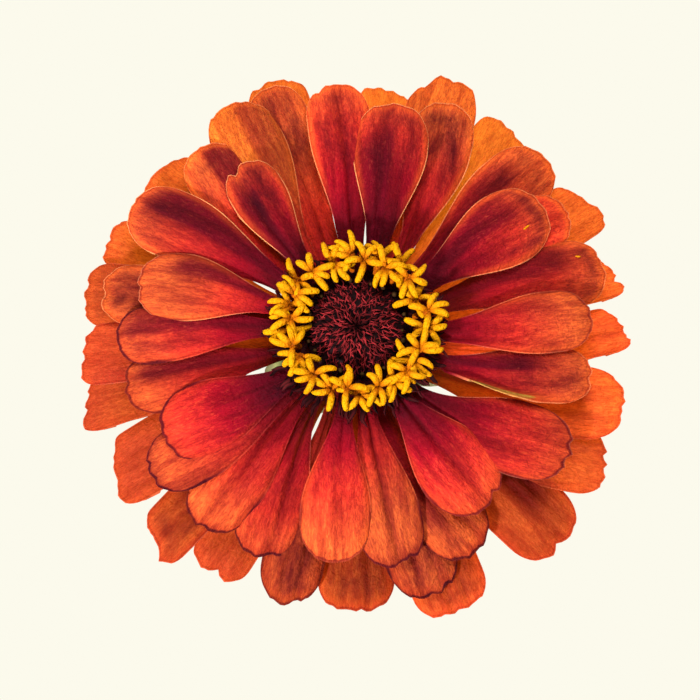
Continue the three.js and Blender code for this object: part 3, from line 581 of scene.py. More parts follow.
def petal_material(name, stops, vein, edge, through, olive_stop, thinness, pivot):
    """Velvety petal skin that lets light from below glow through."""
    material, nodes = new_material(name)
    mask, over, times = nodes.mask, nodes.over, nodes.times
    along, deep, rim = nodes.parts("petal_place")
    rim_light, bright, rim_dark = nodes.parts("petal_tone")
    dusk, mottled, olive = nodes.parts("petal_shade_and_pigment")
    from_crest, arch, from_channel = nodes.parts("petal_relief")
    channel_depth, from_fold, fold_depth = nodes.parts("petal_crease")
    place = nodes.attribute("petal_grain")
    grain = nodes.put("ShaderNodeGroup", {"Place": place}, node_tree=grain_group()).outputs

    def hollow(distance, depth, sharpness):
        squared = nodes.maths("POWER", nodes.maths("ABSOLUTE", distance), 2.0)
        return times(nodes.maths("POWER", 2.718, times(squared, sharpness)), depth)

    waver = nodes.scaled(grain["Blotch"], 0.06, -0.03)
    trough = nodes.plus(hollow(nodes.plus(from_channel, waver), channel_depth, -60.0),
                        hollow(nodes.plus(from_fold, waver), fold_depth, -90.0))

    # Colour along the blade, then its olive and golden casts and the maroon flank, painted shade on the side turned
    # from the light
    # The dark foot is partly the petal's own burgundy and partly painted shade under the petals above and the ring of
    # florets; deep moves it
    body = nodes.ramp(nodes.less(along, deep), *stops)
    body = over(body, olive_stop, olive, 0.75, clamp=True)
    body = over(body, rgb(150, 138, 66), mask(olive, 1.0, 1.35))
    pale = times(times(olive, -0.6, clamp=True), mask(along, 0.2, 0.6), nodes.less(1.0, dusk, clamp=True))
    body = over(body, rgb(246, 142, 34), pale)
    # Painted shade: the maroon flank darkens the side of the petal turned away from the key light
    body = over(body, rgb(96, 3, 20), dusk, 0.95)

    # Veins, creases, bright threads, folds, channels and blotches; the creases, folds and channels are darkened as
    # painted shade
    body = over(body, vein, grain["Veins"], 0.38)
    # Painted shade in the creases
    body = over(body, vein, grain["Creases"], 0.55)
    body = over(body, rgb(255, 122, 70), grain["Threads"], mask(along, 0.3, 0.7), 0.2)
    shaded = nodes.dimmed(body, vein)
    # Painted shade in the soft folds and down in the channels
    body = over(body, shaded, grain["Folds"], 0.42)
    body = over(body, shaded, trough, 0.9, clamp=True)
    patch = times(nodes.plus(grain["Blotch"], 0.35), mottled, clamp=True)
    body = over(body, rgb(60, 8, 16), patch, 0.9)

    # Lighter towards the rim, painted shade near the tip where it curls down away from the light, then the whole
    # petal's brightness
    near_edge = times(mask(rim, 1.3, 0.0), mask(along, 0.35, 0.7), nodes.scaled(rim_dark, -0.5, 0.5))
    body = over(body, edge, near_edge)
    # Painted shade: the tip darkens where it curls down away from the light
    body = over(body, shaded, mask(rim, 2.2, 0.1), mask(along, 0.66, 0.9), rim_dark, 0.55)
    body = nodes.dimmed(body, nodes.put("ShaderNodeCombineColor", {
        "Red": bright, "Green": bright, "Blue": bright}).outputs[0])

    # Pale rim line, a painted highlight along the thin edge, then the dark line inside it and the dark line at the tip
    uneven = nodes.scaled(grain["Folds"], -0.1, nodes.scaled(grain["Blotch"], -0.3, rim))
    # Painted highlight: a pale line along the rim
    body = over(body, rgb(230, 130, 112), mask(rim, 0.15, 0.05), mask(along, 0.3, 0.5), rim_light)
    body = over(body, nodes.dimmed(body, vein), mask(rim, 0.15, 0.22), mask(rim, 0.5, 0.22), 0.4)
    body = over(body, rgb(44, 8, 18), mask(uneven, 0.32, 0.04), mask(along, 0.78, 0.9), rim_dark)
    body = deepened(nodes, body, pivot)

    ridge = times(nodes.maths("POWER", nodes.maths("ABSOLUTE", from_crest), 1.35), arch)
    wrinkle = nodes.noise(place, 1.1, 5.0, 0.6, 0.9)
    height = nodes.scaled(wrinkle, 0.5, times(grain["Height"], 0.15))
    normal = nodes.bump(nodes.less(nodes.less(height, ridge), trough), 1.0, MM)

    through = nodes.blend(pale, through, rgb(255, 214, 110))
    through = nodes.blend(nodes.scaled(olive, 0.3, 0.4, clamp=True), through, body)
    through = over(through, vein, grain["Veins"], 0.35)
    through = over(through, vein, grain["Creases"], 0.5)
    through = over(through, shaded, nodes.plus(patch, trough), 0.55, clamp=True)
    through = over(through, body, dusk, 0.45)
    nodes.surface(nodes.lit_through(nodes.shell(body, 0.7, 0.08, normal), thinness, through, normal))
    return material


# Each row's ramp begins with a near black foot, partly painted shade under the petals above and the ring
def inner_petal_material(settings):
    return petal_material("red velvet petal", [
        (0.0, rgb(16, 0, 6)), (0.16, rgb(74, 1, 14)), (0.42, rgb(148, 14, 25)),
        (0.68, opaque(settings.inner_middle)), (1.0, opaque(settings.inner_tip))],
        vein=rgb(116, 8, 24), edge=rgb(250, 100, 40), through=opaque(settings.inner_glow),
        olive_stop=rgb(190, 70, 26), thinness=0.42, pivot=0.047)


def middle_petal_material(settings):
    return petal_material("red orange petal", [
        (0.0, rgb(16, 0, 6)), (0.16, rgb(80, 2, 15)), (0.44, rgb(157, 17, 27)),
        (0.72, opaque(settings.between_middle)), (1.0, opaque(settings.between_tip))],
        vein=rgb(124, 12, 22), edge=rgb(250, 112, 40), through=opaque(settings.between_glow),
        olive_stop=rgb(184, 74, 26), thinness=0.52, pivot=0.056)


def outer_petal_material(settings):
    return petal_material("orange petal", [
        (0.0, rgb(110, 8, 20)), (0.3, rgb(196, 60, 30)), (0.6, opaque(settings.outer_middle)),
        (0.85, rgb(224, 104, 52)), (1.0, opaque(settings.outer_tip))],
        vein=rgb(164, 54, 20), edge=rgb(206, 80, 42), through=opaque(settings.outer_glow),
        olive_stop=rgb(156, 80, 22), thinness=0.66, pivot=0.088)


def floret_material(settings):
    """Golden, slightly hairy lobes over orange brown tubes, with painted shade on the lobes' undersides, the tubes and
    the throats.
    """
    material, nodes = new_material("golden floret")
    along, under, seed = nodes.parts("floret_place")
    speckle = nodes.speckle(2600.0, 3.0)
    # Darker towards the throat: partly the orange brown of the tube, partly painted shade down in the throat
    body = nodes.ramp(along, (0.0, rgb(84, 30, 0)), (0.2, opaque(settings.tube_colour)), (0.45, rgb(182, 123, 0)),
                      (1.0, opaque(settings.lobe_colour)))
    # Painted shade on the underside of each lobe and on the tubes beneath
    body = nodes.over(body, rgb(140, 62, 0), nodes.mask(under, 0.1, 0.9), 0.9)
    body = nodes.over(body, rgb(198, 104, 0), nodes.mask(speckle, 0.5, 0.7), 0.5)
    body = nodes.over(body, rgb(204, 120, 0), seed, 0.3)
    nodes.surface(nodes.shell(body, 0.55, 0.05, nodes.bump(speckle, 1.0, 0.0005)))
    return material


def chaff_material(settings):
    """Near black burgundy scales with crimson edges."""
    material, nodes = new_material("burgundy chaff")
    along, edge, red = nodes.parts("chaff_place")
    speckle = nodes.speckle(1800.0, 3.0)
    body = nodes.over(opaque(settings.chaff_ground), opaque(settings.chaff_tip), nodes.mask(along, 0.1, 0.6), edge, red)
    body = nodes.over(body, rgb(40, 6, 16), nodes.mask(speckle, 0.45, 0.7), 0.4)
    bud = nodes.times(red, -1.0, clamp=True)
    body = nodes.over(body, rgb(52, 34, 12), bud, nodes.mask(along, 0.4, 1.1))
    nodes.surface(nodes.shell(body, 0.7, 0.04, nodes.bump(speckle, 0.4, 0.0001)))
    return material


def bract_material(settings):
    """Green scales with a pale middle, dark fringed edges and a cut pale pith below."""
    material, nodes = new_material("green bract")
    along, edge, cut = nodes.parts("bract_place")
    speckle = nodes.speckle(700.0, 4.0)
    body = nodes.ramp(along, (0.0, rgb(96, 122, 50)), (0.5, opaque(settings.scale_colour)),
                      (0.85, rgb(190, 200, 130)), (1.0, opaque(settings.tip_colour)))
    body = nodes.over(body, rgb(78, 100, 38), nodes.mask(speckle, 0.4, 0.7), 0.35)
    ragged = nodes.plus(edge, nodes.times(speckle, 0.24))
    body = nodes.over(body, rgb(58, 34, 26), nodes.mask(ragged, 0.86, 1.0), nodes.mask(along, 0.3, 0.6))
    pith = nodes.blend(nodes.speckle(2400.0, 3.0), opaque(settings.pith_colour), rgb(150, 160, 92))
    body = nodes.blend(cut, body, pith)
    normal = nodes.bump(speckle, 0.4, 0.0002)
    thin = nodes.times(nodes.less(1.0, cut, clamp=True), nodes.mask(along, 0.3, 0.8), 0.8)
    glow = nodes.blend(0.6, body, rgb(250, 250, 216))
    nodes.surface(nodes.lit_through(nodes.shell(body, 0.5, 0.4, normal), thin, glow, normal))
    return material


# Petals

def blade_master():
    """Flat grid of one blade, x across and y along."""
    deselect_all()
    bpy.ops.mesh.primitive_grid_add(x_subdivisions=24, y_subdivisions=46, size=1, location=(0, 0, 0))
    return active()


def place_blade(piece, petal, roll, look, draws, settings):
    """Bend a flat blade to its petal and note where each point lies on it."""
    flat = mesh_points(piece)
    u = -np.sin(np.pi * flat[:, 0])
    v = 1 - (1 - (flat[:, 1] + 0.5)) ** 1.5
    petal = (petal[0] + look["root"], petal[1] + look["tip"], *petal[2:])
    _, _, reach, width, rank = petal
    length = reach - ROOT_RADIUS
    blunt = rank < 2

    # Outline of the tip
    power = 2.6 - 0.4 * look["round"] if blunt else 2.2
    end_share = (0.76 + 0.3 * look["round"] if blunt else 1.05) * width / 2 / length
    squareness = np.where(u * look["corner"] > 0, 5.0, power)
    round_end = (1 - np.minimum(1, np.abs(u)) ** squareness) ** (1 / squareness)
    teeth = look["slant"] * u
    for place, depth in look["notches"]:
        teeth -= depth * dip(u, place, 0.13)
    teeth += draws.between(0.06, 0.15) * np.sin(draws.between(10, 17) * u + draws.between(0, 6))
    teeth += draws.between(0.03, 0.08) * np.sin(draws.between(24, 34) * u + draws.between(0, 6))
    s_end = 1 - end_share * (1 - round_end) + teeth * (1 - np.abs(u) ** 5) / length
    s = v * s_end

    middle = petal_line(petal, s)
    along = petal_line(petal, s + 0.01) - petal_line(petal, s - 0.01)
    along /= np.linalg.norm(along, axis=1)[:, None]
    side = np.stack((-along[:, 1], along[:, 0], np.zeros(len(s))), axis=1)
    side /= np.linalg.norm(side, axis=1)[:, None]
    up = np.cross(along, side)

    # Width, arch, roll, ripples, channels and curled rim
    claw = CLAW_SHARE - 0.04 + look["claw"]
    half = (claw + (look["spread"] - claw) * ease((s - 0.14) / 0.62)) * width / 2
    tip_share = np.clip((s - (1 - end_share)) / end_share, 0, 1)
    full = half * (1 - tip_share ** power * 0.6)
    rise = settings.arch_depth / MM * (full / 5) ** 2 * (0.4 - u * u)
    rise += np.sin(roll * full / width * 2) * u * half
    open_part = ease(v / 0.3) * (1 - 0.5 * ease((v - 0.75) / 0.25))
    rise += draws.between(0.02, 0.07) * np.cos(draws.between(5, 9) * u + draws.between(0, 6)) * open_part
    rise += draws.between(0.04, 0.14) * np.sin(draws.between(5, 9) * v + draws.between(0, 6)) * u * u * open_part
    for place, depth in look["channels"]:
        rise -= 0.55 * depth * dip(u, place, 0.16) * open_part
    rim_curl = 0.1 if blunt else 0.3
    rise -= rim_curl * ease((np.abs(u) - 0.7) / 0.3) ** 2 * ease((v - 0.3) / 0.4)
    rise -= rim_curl * ease((v - 0.88) / 0.12) ** 2
    lifted = np.clip(u * look["lift"], 0, 1)
    rise += 1.2 * ease((lifted - 0.66) / 0.34) * ease((v - 0.25) / 0.2) * ease((0.88 - v) / 0.15)
    points = middle + side * (u * half)[:, None] + up * rise[:, None]
    points[:, 2] = np.maximum(points[:, 2], settings.blade_thickness / MM + 0.06)
    set_points(piece, points * MM)

    # What the material reads
    rim = np.minimum((1 - np.abs(u)) * half, (s_end - s) * length)
    # Painted shade on the flank turned away from the key light, fading towards the tip and across
    flank = look["dusk"] * (u - look["crest"])
    dusk = ease(flank / 0.2 + 0.4 * abs(look["dusk"])) * abs(look["dusk"])
    dusk = dusk * (1 - look["fade"] * ease((np.abs(u - look["crest"]) - 0.25) / 0.6))
    dusk *= ease((look["dusk_end"] - v) / 0.16)
    mottle = look["mottle"] * ease((v - 0.45) / 0.25) * ease((rim - 0.7) / (1.6 - look["crescent"]))
    mottle *= 1 - look["crescent"] * ease((rim - 2.0) / 1.2)
    olive = look["olive"] + 1.4 * ease((lifted - 0.6) / 0.3) * ease((v - 0.3) / 0.2) * ease((0.88 - v) / 0.15)
    channel, fold = (*look["channels"], (0, 0), (0, 0))[:2]
    set_attribute(piece, "petal_place", v, look["deep"], rim)
    set_attribute(piece, "petal_grain", u * half, s * length, draws.between(0, 400))
    set_attribute(piece, "petal_tone", look["rim_light"], look["bright"], look["rim_dark"])
    set_attribute(piece, "petal_shade_and_pigment", dusk, mottle, olive)
    set_attribute(piece, "petal_relief", u - look["crest"], look["arch"] * open_part * full / 5, u - channel[0])
    set_attribute(piece, "petal_crease", channel[1] * open_part, u - fold[0], fold[1] * open_part)


def blade_point(petal, s, u):
    """Point on the upper face of a petal, just above its middle line."""
    ahead = petal_line(petal, s + 0.01) - petal_line(petal, s)
    side = left_of(ahead) / np.hypot(ahead[0], ahead[1])
    return petal_line(petal, s) + side * u * petal[3] / 2 + np.array((0.0, 0.0, 0.4 - 0.5 * u * u))


def build_petals(node, ranks, floor, ceiling, material, settings):
    low, high = ranks
    draws = Draws(SEED + 7 * low + 1)
    blades = copies(blade_master(), place_blade, (
        (petal, ROLLS[index], LOOKS[index], draws, settings)
        for index, petal in enumerate(PETALS) if low <= petal[4] <= high))
    petals = joined(blades, node + "_skin")
    give_wall(petals, settings.blade_thickness / MM)
    petals = joined([petals, stalk_slice(floor, ceiling)], node + "_skin")
    finish_piece(petals, material, 60, node, node)


def stalk_slice(floor, ceiling):
    """Slice of the receptacle that one group of petals grows from."""
    deselect_all()
    bpy.ops.mesh.primitive_cylinder_add(vertices=48, radius=CORE_RADIUS * MM, depth=(ceiling - floor) * MM,
                                        location=(0, 0, 0))
    core = active()
    points = mesh_points(core)
    points[:, 2] += (ceiling + floor) / 2 * MM
    set_points(core, points)
    set_attribute(core, "petal_place", 0, 0, 5)
    set_attribute(core, "petal_grain", *(points / MM).T)
    set_attribute(core, "petal_tone", 0, 0.3, 0)
    for name in ("petal_shade_and_pigment", "petal_relief", "petal_crease"):
        set_attribute(core, name, 0, 0, 0)
    return core


# Centre

def lobe_master():
    """Plump lobe from a low sphere, its poles along x."""
    deselect_all()
    bpy.ops.mesh.primitive_uv_sphere_add(segments=8, ring_count=8, radius=1, location=(0, 0, 0))
    ball = active()
    set_points(ball, mesh_points(ball)[:, [2, 0, 1]])
    return ball


def place_lobe(piece, throat, heading, length, girth, bend, hump, seed):
    ball = mesh_points(piece)
    s = (ball[:, 0] + 1) / 2
    ring = np.hypot(ball[:, 1], ball[:, 2])
    plump = (1 - np.abs(2 * s - 1) ** 3.4) ** (1 / 3.4) * (0.72 + 0.28 * ease(s / 0.4))
    cross = np.where(ring > 1e-6, 1 / np.maximum(ring, 1e-6), 0)[:, None] * ball[:, 1:]
    way = polar(heading, 1.0)
    distance = 0.1 + s * (length - 0.1) * (1 - 0.1 * hump * s)
    peak = 2.2 + hump
    rise = -0.45 + peak * s * (1.1 - s)
    slope = np.arctan2(peak * (1.1 - 2 * s), length)
    sideways = cross[:, 0] * girth * plump + bend * s ** 2.6
    lift = cross[:, 1] * girth * plump
    points = throat + way * (distance - np.sin(slope) * lift)[:, None] + left_of(way) * sideways[:, None]
    points[:, 2] += rise + np.cos(slope) * lift
    set_points(piece, points * MM)
    # The second number marks the lobe's underside, where the material paints shade
    set_attribute(piece, "floret_place", s, np.clip(0.5 - cross[:, 1], 0, 1), seed)


def place_tube(piece, foot, neck, low, high):
    """Stand a unit tube between foot and neck."""
    unit = mesh_points(piece)
    share = unit[:, 2] + 0.5
    points = foot + (neck - foot) * share[:, None]
    points[:, :2] += unit[:, :2] * (low + (high - low) * share)[:, None]
    set_points(piece, points * MM)
    # A tube counts wholly as underside, painted in shade
    set_attribute(piece, "floret_place", share * 0.12, 1, 0)


def place_crumb(piece, index, along, across, heading, length):
    ball = mesh_points(piece) * (length / 2, 0.14, 0.12)
    way = polar(heading, 1.0)
    points = blade_point(PETALS[index], along, across) + way * ball[:, :1] + left_of(way) * ball[:, 1:2]
    points[:, 2] += ball[:, 2]
    set_points(piece, points * MM)
    set_attribute(piece, "floret_place", 0.4, 0.3, 0.5)


def build_florets(settings):
    draws = Draws(SEED + 91)
    lobe = lobe_master()
    deselect_all()
    bpy.ops.mesh.primitive_cylinder_add(vertices=8, radius=1, depth=1, location=(0, 0, 0))
    tube = active()
    pieces = []
    for azimuth, radius, level, lobes in FLORET_PLAN:
        throat = polar(azimuth, radius, level)
        foot = polar(azimuth, TUBE_FOOT_RADIUS, INNER_TOP + 0.4)
        pieces.append(copy_of(tube))
        place_tube(pieces[-1], foot, throat + np.array((0, 0, -0.1)), 0.42, 0.6)
        for heading, length in lobes:
            pieces.append(copy_of(lobe))
            place_lobe(pieces[-1], throat, heading + draws.between(-7, 7), length * draws.between(1.0, 1.2),
                       settings.lobe_radius / MM, draws.between(-1.2, 1.2), draws.between(-0.3, 1.9),
                       draws.between(0, 1))
    remove_master(tube)
    pieces += copies(lobe, place_crumb, CRUMBS)
    finish_piece(joined(pieces, "yellow_florets_skin"), floret_material(settings), 80,
                 "yellow_florets", "yellow_florets")


def dome_height(radius):
    return np.interp(radius, [0, 1.4, 3.0, 4.8, 6.4, 7.5], [14.1, 14.9, 15.1, 14.6, 13.6, 12.95])


def build_dome():
    """Ground of the dark disc, dimpled in the middle."""
    deselect_all()
    bpy.ops.mesh.primitive_circle_add(vertices=48, radius=DOME_RADIUS * MM, fill_type="TRIFAN", location=(0, 0, 0))
    dome = active()
    bpy.ops.object.mode_set(mode="EDIT")
    bpy.ops.mesh.select_all(action="SELECT")
    bpy.ops.mesh.subdivide(number_cuts=6)
    bpy.ops.object.mode_set(mode="OBJECT")
    points = mesh_points(dome)
    points[:, 2] = dome_height(np.hypot(points[:, 0], points[:, 1]) / MM) * MM
    set_points(dome, points)
    give_wall(dome, DOME_WALL)
    set_attribute(dome, "chaff_place", 0, 0, 0)
    return dome


def build_disc(settings):
    draws = Draws(SEED + 37)
    dome = build_dome()
    total = settings.chaff_count
    chaff = joined(copies(scale_master(), place_chaff, (
        (GOLDEN_ANGLE * k, CHAFF_START + CHAFF_REACH * math.sqrt((k + 0.5) / total), draws)
        for k in range(total))), "chaff_scales")
    give_wall(chaff, CHAFF_WALL, 0)
    buds = joined(copies(lobe_master(), place_bud, ((k, draws) for k in range(BUD_COUNT))), "closed_florets")
    material = chaff_material(settings)
    finish_piece(joined([dome, chaff, buds], "dark_disc_skin"), material, 60, "dark_disc", "dark_disc")

    low, high = FRINGE_GAP
    fringe = joined(copies(scale_master(), place_fringe, (
        (GOLDEN_ANGLE * k, draws.between(*FRINGE_RING), draws) for k in range(FRINGE_COUNT)
        if not (low < GOLDEN_ANGLE * k % 360 < high and k % 3))), "chaff_fringe")
    give_wall(fringe, CHAFF_WALL, 0)
    finish_piece(fringe, material, 60, "dark_disc")


def scale_master():
    """Flat strip of one chaff scale."""
    deselect_all()
    bpy.ops.mesh.primitive_grid_add(x_subdivisions=2, y_subdivisions=6, size=1, location=(0, 0, 0))
    return active()


def place_bud(piece, k, draws):
    """Closed floret between the chaff and the open ring."""
    ball = mesh_points(piece)
    size = draws.between(0.3, 0.46)
    azimuth = 360 * k / BUD_COUNT + draws.between(-4, 4)
    centre = polar(azimuth, BUD_RADIUS + 0.9 * ((k * 0.618) % 1), BUD_HEIGHT + draws.between(-0.2, 0.35))
    set_points(piece, (centre + ball[:, [1, 2, 0]] * (size, size, size * 1.5)) * MM)
    set_attribute(piece, "chaff_place", 0.5 + 0.5 * ball[:, 0], 0.5, -1)


def place_chaff(piece, azimuth, radius, draws):
    """Narrow keeled scale that leans inward over its neighbour, flared at the tip further out."""
    flat = mesh_points(piece)
    across = flat[:, 0] * 2
    share = flat[:, 1] + 0.5
    inner = 1 - ease((radius - 1.8) / 2.6)
    length = 1.8 + draws.between(-0.3, 0.5)
    narrow = np.interp(share, [0, 0.3, 0.7, 1], [0.4, 0.6, 0.5, 0.15])
    forked = np.interp(share, [0, 0.5, 0.7, 1], [0.4, 0.6, 0.9, draws.between(1.6, 3.2)])
    profile = 0.1 * (narrow * inner + forked * (1 - inner))
    share = share - (1 - inner) * 0.26 * ease((share - 0.7) / 0.3) * (np.abs(across) < 0.5)
    lean = 0.95 + 0.2 * inner + draws.between(-0.25, 0.2)
    out = polar(azimuth, 1.0)
    inward = share * min(length * math.sin(lean), radius - 0.1)
    climb = share * length * math.cos(lean)
    ground = float(dome_height(radius))
    fall = ground - dome_height(np.abs(radius - inward))
    keel = 0.2 * (1 - np.abs(across))
    zigzag = draws.between(0.05, 0.22) * np.sin(draws.between(4, 10) * share + draws.between(0, 6))
    bend = draws.between(-0.4, 0.4) * (1 - 0.8 * inner) * share ** 2 + zigzag
    base = polar(azimuth + draws.between(-5, 5), radius, ground - 0.12)
    points = base + left_of(out) * (across * profile + bend)[:, None] - out * inward[:, None]
    points[:, 2] += climb * 0.55 - 0.6 * fall + keel + draws.between(-0.1, 0.25)
    set_points(piece, points * MM)
    red = draws.between(0.2, 1.0) * (0.5 + 0.5 * (1 - ease((radius - 6.8) / 1.0)))
    red *= 0.88 * (0.1 + 0.9 * ease((np.abs(radius - inward) - 0.3) / 2.0))
    set_attribute(piece, "chaff_place", share, 1 - 0.35 * np.abs(across), red)


def place_fringe(piece, azimuth, radius, draws):
    """Dry dark scale that lies outward over the petal claws."""
    flat = mesh_points(piece)
    across = flat[:, 0] * 2
    share = flat[:, 1] + 0.5
    length = draws.between(1.5, 3.4) * (1 - 0.45 * ease((np.sin(np.radians(azimuth)) + 0.3) / 0.9))
    profile = draws.between(0.2, 0.42) * np.interp(share, [0, 0.4, 0.8, 1], [0.8, 1.0, 0.7, 0.15])
    out = polar(azimuth, 1.0)
    bend = draws.between(-1.0, 1.0) * share ** 2 + 0.15 * np.sin(draws.between(5, 9) * share)
    base = polar(azimuth, radius, FRINGE_HEIGHT + draws.between(0, 0.5))
    points = base + left_of(out) * (across * profile + bend)[:, None] + out * (share * length)[:, None]
    points[:, 2] += 0.15 * (1 - np.abs(across)) + 0.5 * share * (1 - share) + draws.between(-0.2, 0.3) * share
    set_points(piece, points * MM)
    set_attribute(piece, "chaff_place", share, (1 - np.abs(across)) * 0.6, draws.between(0, 0.3))


# Bract cup

def build_cup():
    """Turned cup under the scales, with a flush cut face."""
    deselect_all()
    bpy.ops.mesh.primitive_circle_add(vertices=48, radius=CUT_RADIUS * MM, fill_type="NGON", location=(0, 0, 0))
    cup = active()
    bpy.ops.object.mode_set(mode="EDIT")
    bpy.ops.mesh.select_all(action="SELECT")
    last_radius, last_z = CUT_RADIUS, 0
    for radius, z in CUP_PROFILE:
        bpy.ops.mesh.extrude_region_move()
        bpy.ops.transform.resize(value=(radius / last_radius, radius / last_radius, 1))
        bpy.ops.transform.translate(value=(0, 0, (z - last_z) * MM))
        last_radius, last_z = radius, z
    bpy.ops.mesh.select_all(action="SELECT")
    bpy.ops.mesh.normals_make_consistent(inside=False)
    bpy.ops.object.mode_set(mode="OBJECT")
    points = mesh_points(cup)
    cut = (np.hypot(points[:, 0], points[:, 1]) < (CUT_RADIUS + 0.1) * MM) & (points[:, 2] < 0.1 * MM)
    set_attribute(cup, "bract_place", 0, 0, cut)
    return cup


def build_bracts(settings):
    cup = build_cup()
    deselect_all()
    bpy.ops.mesh.primitive_grid_add(x_subdivisions=8, y_subdivisions=12, size=1, location=(0, 0, 0))
    draws = Draws(SEED + 53)
    scales = joined(copies(active(), place_bract, (
        (turn + 360 * k / count, row, draws) for count, turn, *row in BRACT_ROWS for k in range(count))),
        "bract_scales")
    give_wall(scales, settings.scale_thickness / MM)
    finish_piece(joined([cup, scales], "bract_cup_skin"), bract_material(settings), 45, "bract_cup", "bract_cup")


def place_bract(piece, azimuth, row, draws):
    root_radius, root_height, tip_radius, tip_height, width = row
    shown = tip_radius > 13 and min(abs(azimuth - place) for place in SHOWN_BRACTS) < 9
    if shown:
        tip_radius, tip_height = SHOWN_TIP
    flat = mesh_points(piece)
    u = np.sin(np.pi * flat[:, 0])
    v = flat[:, 1] + 0.5
    s = v * (1 - 0.38 * (1 - np.sqrt(np.maximum(0, 1 - u * u))))
    reach = root_radius + (tip_radius - root_radius + draws.between(-0.3, 0.1)) * s
    bulge = 0.9 * np.sin(np.pi * np.clip(s, 0, 1)) * (1 - 0.4 * s)
    z = root_height + (tip_height - root_height) * s - bulge * 0.5 + 0.25 * u * u
    half = width / 2 * np.interp(s, [0, 0.6, 1], [0.74, 0.66, 0.36] if shown else [0.8, 1.0, 0.92])
    angle = np.radians(azimuth) + u * half / np.maximum(reach, 1)
    set_points(piece, np.stack((reach * np.cos(angle), reach * np.sin(angle), z), axis=1) * MM)
    set_attribute(piece, "bract_place", v, np.maximum(np.abs(u), v), 0)


# Stage

def build_stage(settings):
    deselect_all()
    bpy.ops.mesh.primitive_plane_add(size=FLOOR_SIZE, location=(0, 0, -FLOOR_GAP))
    floor = active()
    floor.name = "pale_floor"
    material, nodes = new_material("light table cream")
    shown = nodes.put("ShaderNodeLightPath").outputs["Is Camera Ray"]
    strength = nodes.scaled(shown, 1.0 - settings.floor_glow, settings.floor_glow)
    nodes.surface(nodes.put("ShaderNodeEmission", {
        "Color": opaque(settings.floor_colour), "Strength": strength}).outputs[0])
    floor.data.materials.append(material)

    world = bpy.data.worlds.new("studio air")
    bpy.context.scene.world = world
    world.use_nodes = True
    nodes = Nodes(world.node_tree)
    shown = nodes.put("ShaderNodeLightPath").outputs["Is Camera Ray"]
    air = nodes.blend(shown, opaque([settings.air_light] * 3), opaque(settings.floor_colour))
    nodes.tree.links.new(air, nodes.tree.nodes["Background"].inputs["Color"])

    for name, place, size, watts in ((*KEY_SOFTBOX, settings.key_light), (*FILL_SOFTBOX, settings.fill_light)):
        deselect_all()
        bpy.ops.object.light_add(type="AREA", location=place)
        lamp = active()
        lamp.name = name
        lamp.data.size = size
        lamp.data.energy = watts
        lamp.rotation_euler = (-Vector(place)).to_track_quat("-Z", "Y").to_euler()

    elevation = math.radians(settings.camera_elevation)
    target = Vector(CAMERA_TARGET)
    place = target + Vector((0, -math.cos(elevation), math.sin(elevation))) * CAMERA_DISTANCE
    bpy.ops.object.camera_add(location=place)
    camera = active()
    camera.name = "photo_camera"
    camera.rotation_euler = (target - place).to_track_quat("-Z", "Y").to_euler()
    camera.data.sensor_width = 36
    camera.data.lens = camera.data.sensor_width * CAMERA_DISTANCE / (settings.view_width * MM)
    camera.data.clip_start = 0.01
    bpy.context.scene.camera = camera
    bpy.context.scene.view_settings.view_transform = "Standard"


# Add-on

def colour_setting(name, description, red, green, blue):
    return bpy.props.FloatVectorProperty(
        name=name, description=description, subtype="COLOR", size=3, min=0, max=1,
        default=rgb(red, green, blue)[:3])


def length_setting(name, description, millimetres):
    return bpy.props.FloatProperty(
        name=name, description=description, default=millimetres * MM, min=0.01 * MM, unit="LENGTH")


def number_setting(name, description, default, unit="NONE"):
    return bpy.props.FloatProperty(name=name, description=description, default=default, min=0, unit=unit)


class ZinniaPetalSettings(bpy.types.PropertyGroup):
    blade_thickness: length_setting("Blade thickness", "Thickness of a petal's blade", 0.3)
    arch_depth: length_setting("Arch depth", "How far a blade 10 mm wide arches across", 0.8)
    inner_middle: colour_setting("Top row middle", "Colour of the top petals half way along", 211, 57, 35)
    inner_tip: colour_setting("Top row tip", "Colour of the top petals at the tip", 238, 98, 49)
    inner_glow: colour_setting("Top row glow", "Light that comes through the top petals", 250, 96, 20)
    between_middle: colour_setting("Between row middle", "Colour of the petals between half way along", 214, 60, 38)
    between_tip: colour_setting("Between row tip", "Colour of the petals between at the tip", 238, 102, 52)
    between_glow: colour_setting("Between row glow", "Light that comes through the petals between", 255, 160, 50)
    outer_middle: colour_setting("Lowest row middle", "Colour of the lowest petals half way along", 222, 91, 48)
    outer_tip: colour_setting("Lowest row tip", "Colour of the lowest petals at the tip", 216, 88, 56)
    outer_glow: colour_setting("Lowest row glow", "Light that comes through the lowest petals", 255, 182, 92)


class ZinniaCentreSettings(bpy.types.PropertyGroup):
    lobe_radius: length_setting("Lobe radius", "Half the thickness of a floret's lobe", 0.52)
    lobe_colour: colour_setting("Lobe colour", "Colour of the lobes at the tip", 190, 135, 0)
    tube_colour: colour_setting("Tube colour", "Colour near the florets' throats", 150, 76, 0)
    chaff_count: bpy.props.IntProperty(
        name="Chaff scales", description="Number of scales on the dark dome", default=360, min=20, max=900)
    chaff_tip: colour_setting("Chaff tip", "Colour of the chaff scales towards the tip", 166, 44, 48)
    chaff_ground: colour_setting("Chaff ground", "Colour deep between the chaff scales", 13, 3, 3)


class ZinniaBractSettings(bpy.types.PropertyGroup):
    scale_thickness: length_setting("Scale thickness", "Thickness of a bract scale", 0.4)
    scale_colour: colour_setting("Scale colour", "Colour of a bract half way up", 122, 150, 66)
    tip_colour: colour_setting("Scale tip", "Colour of a bract at the tip", 222, 224, 172)
    pith_colour: colour_setting("Pith colour", "Colour of the cut stalk", 196, 198, 140)


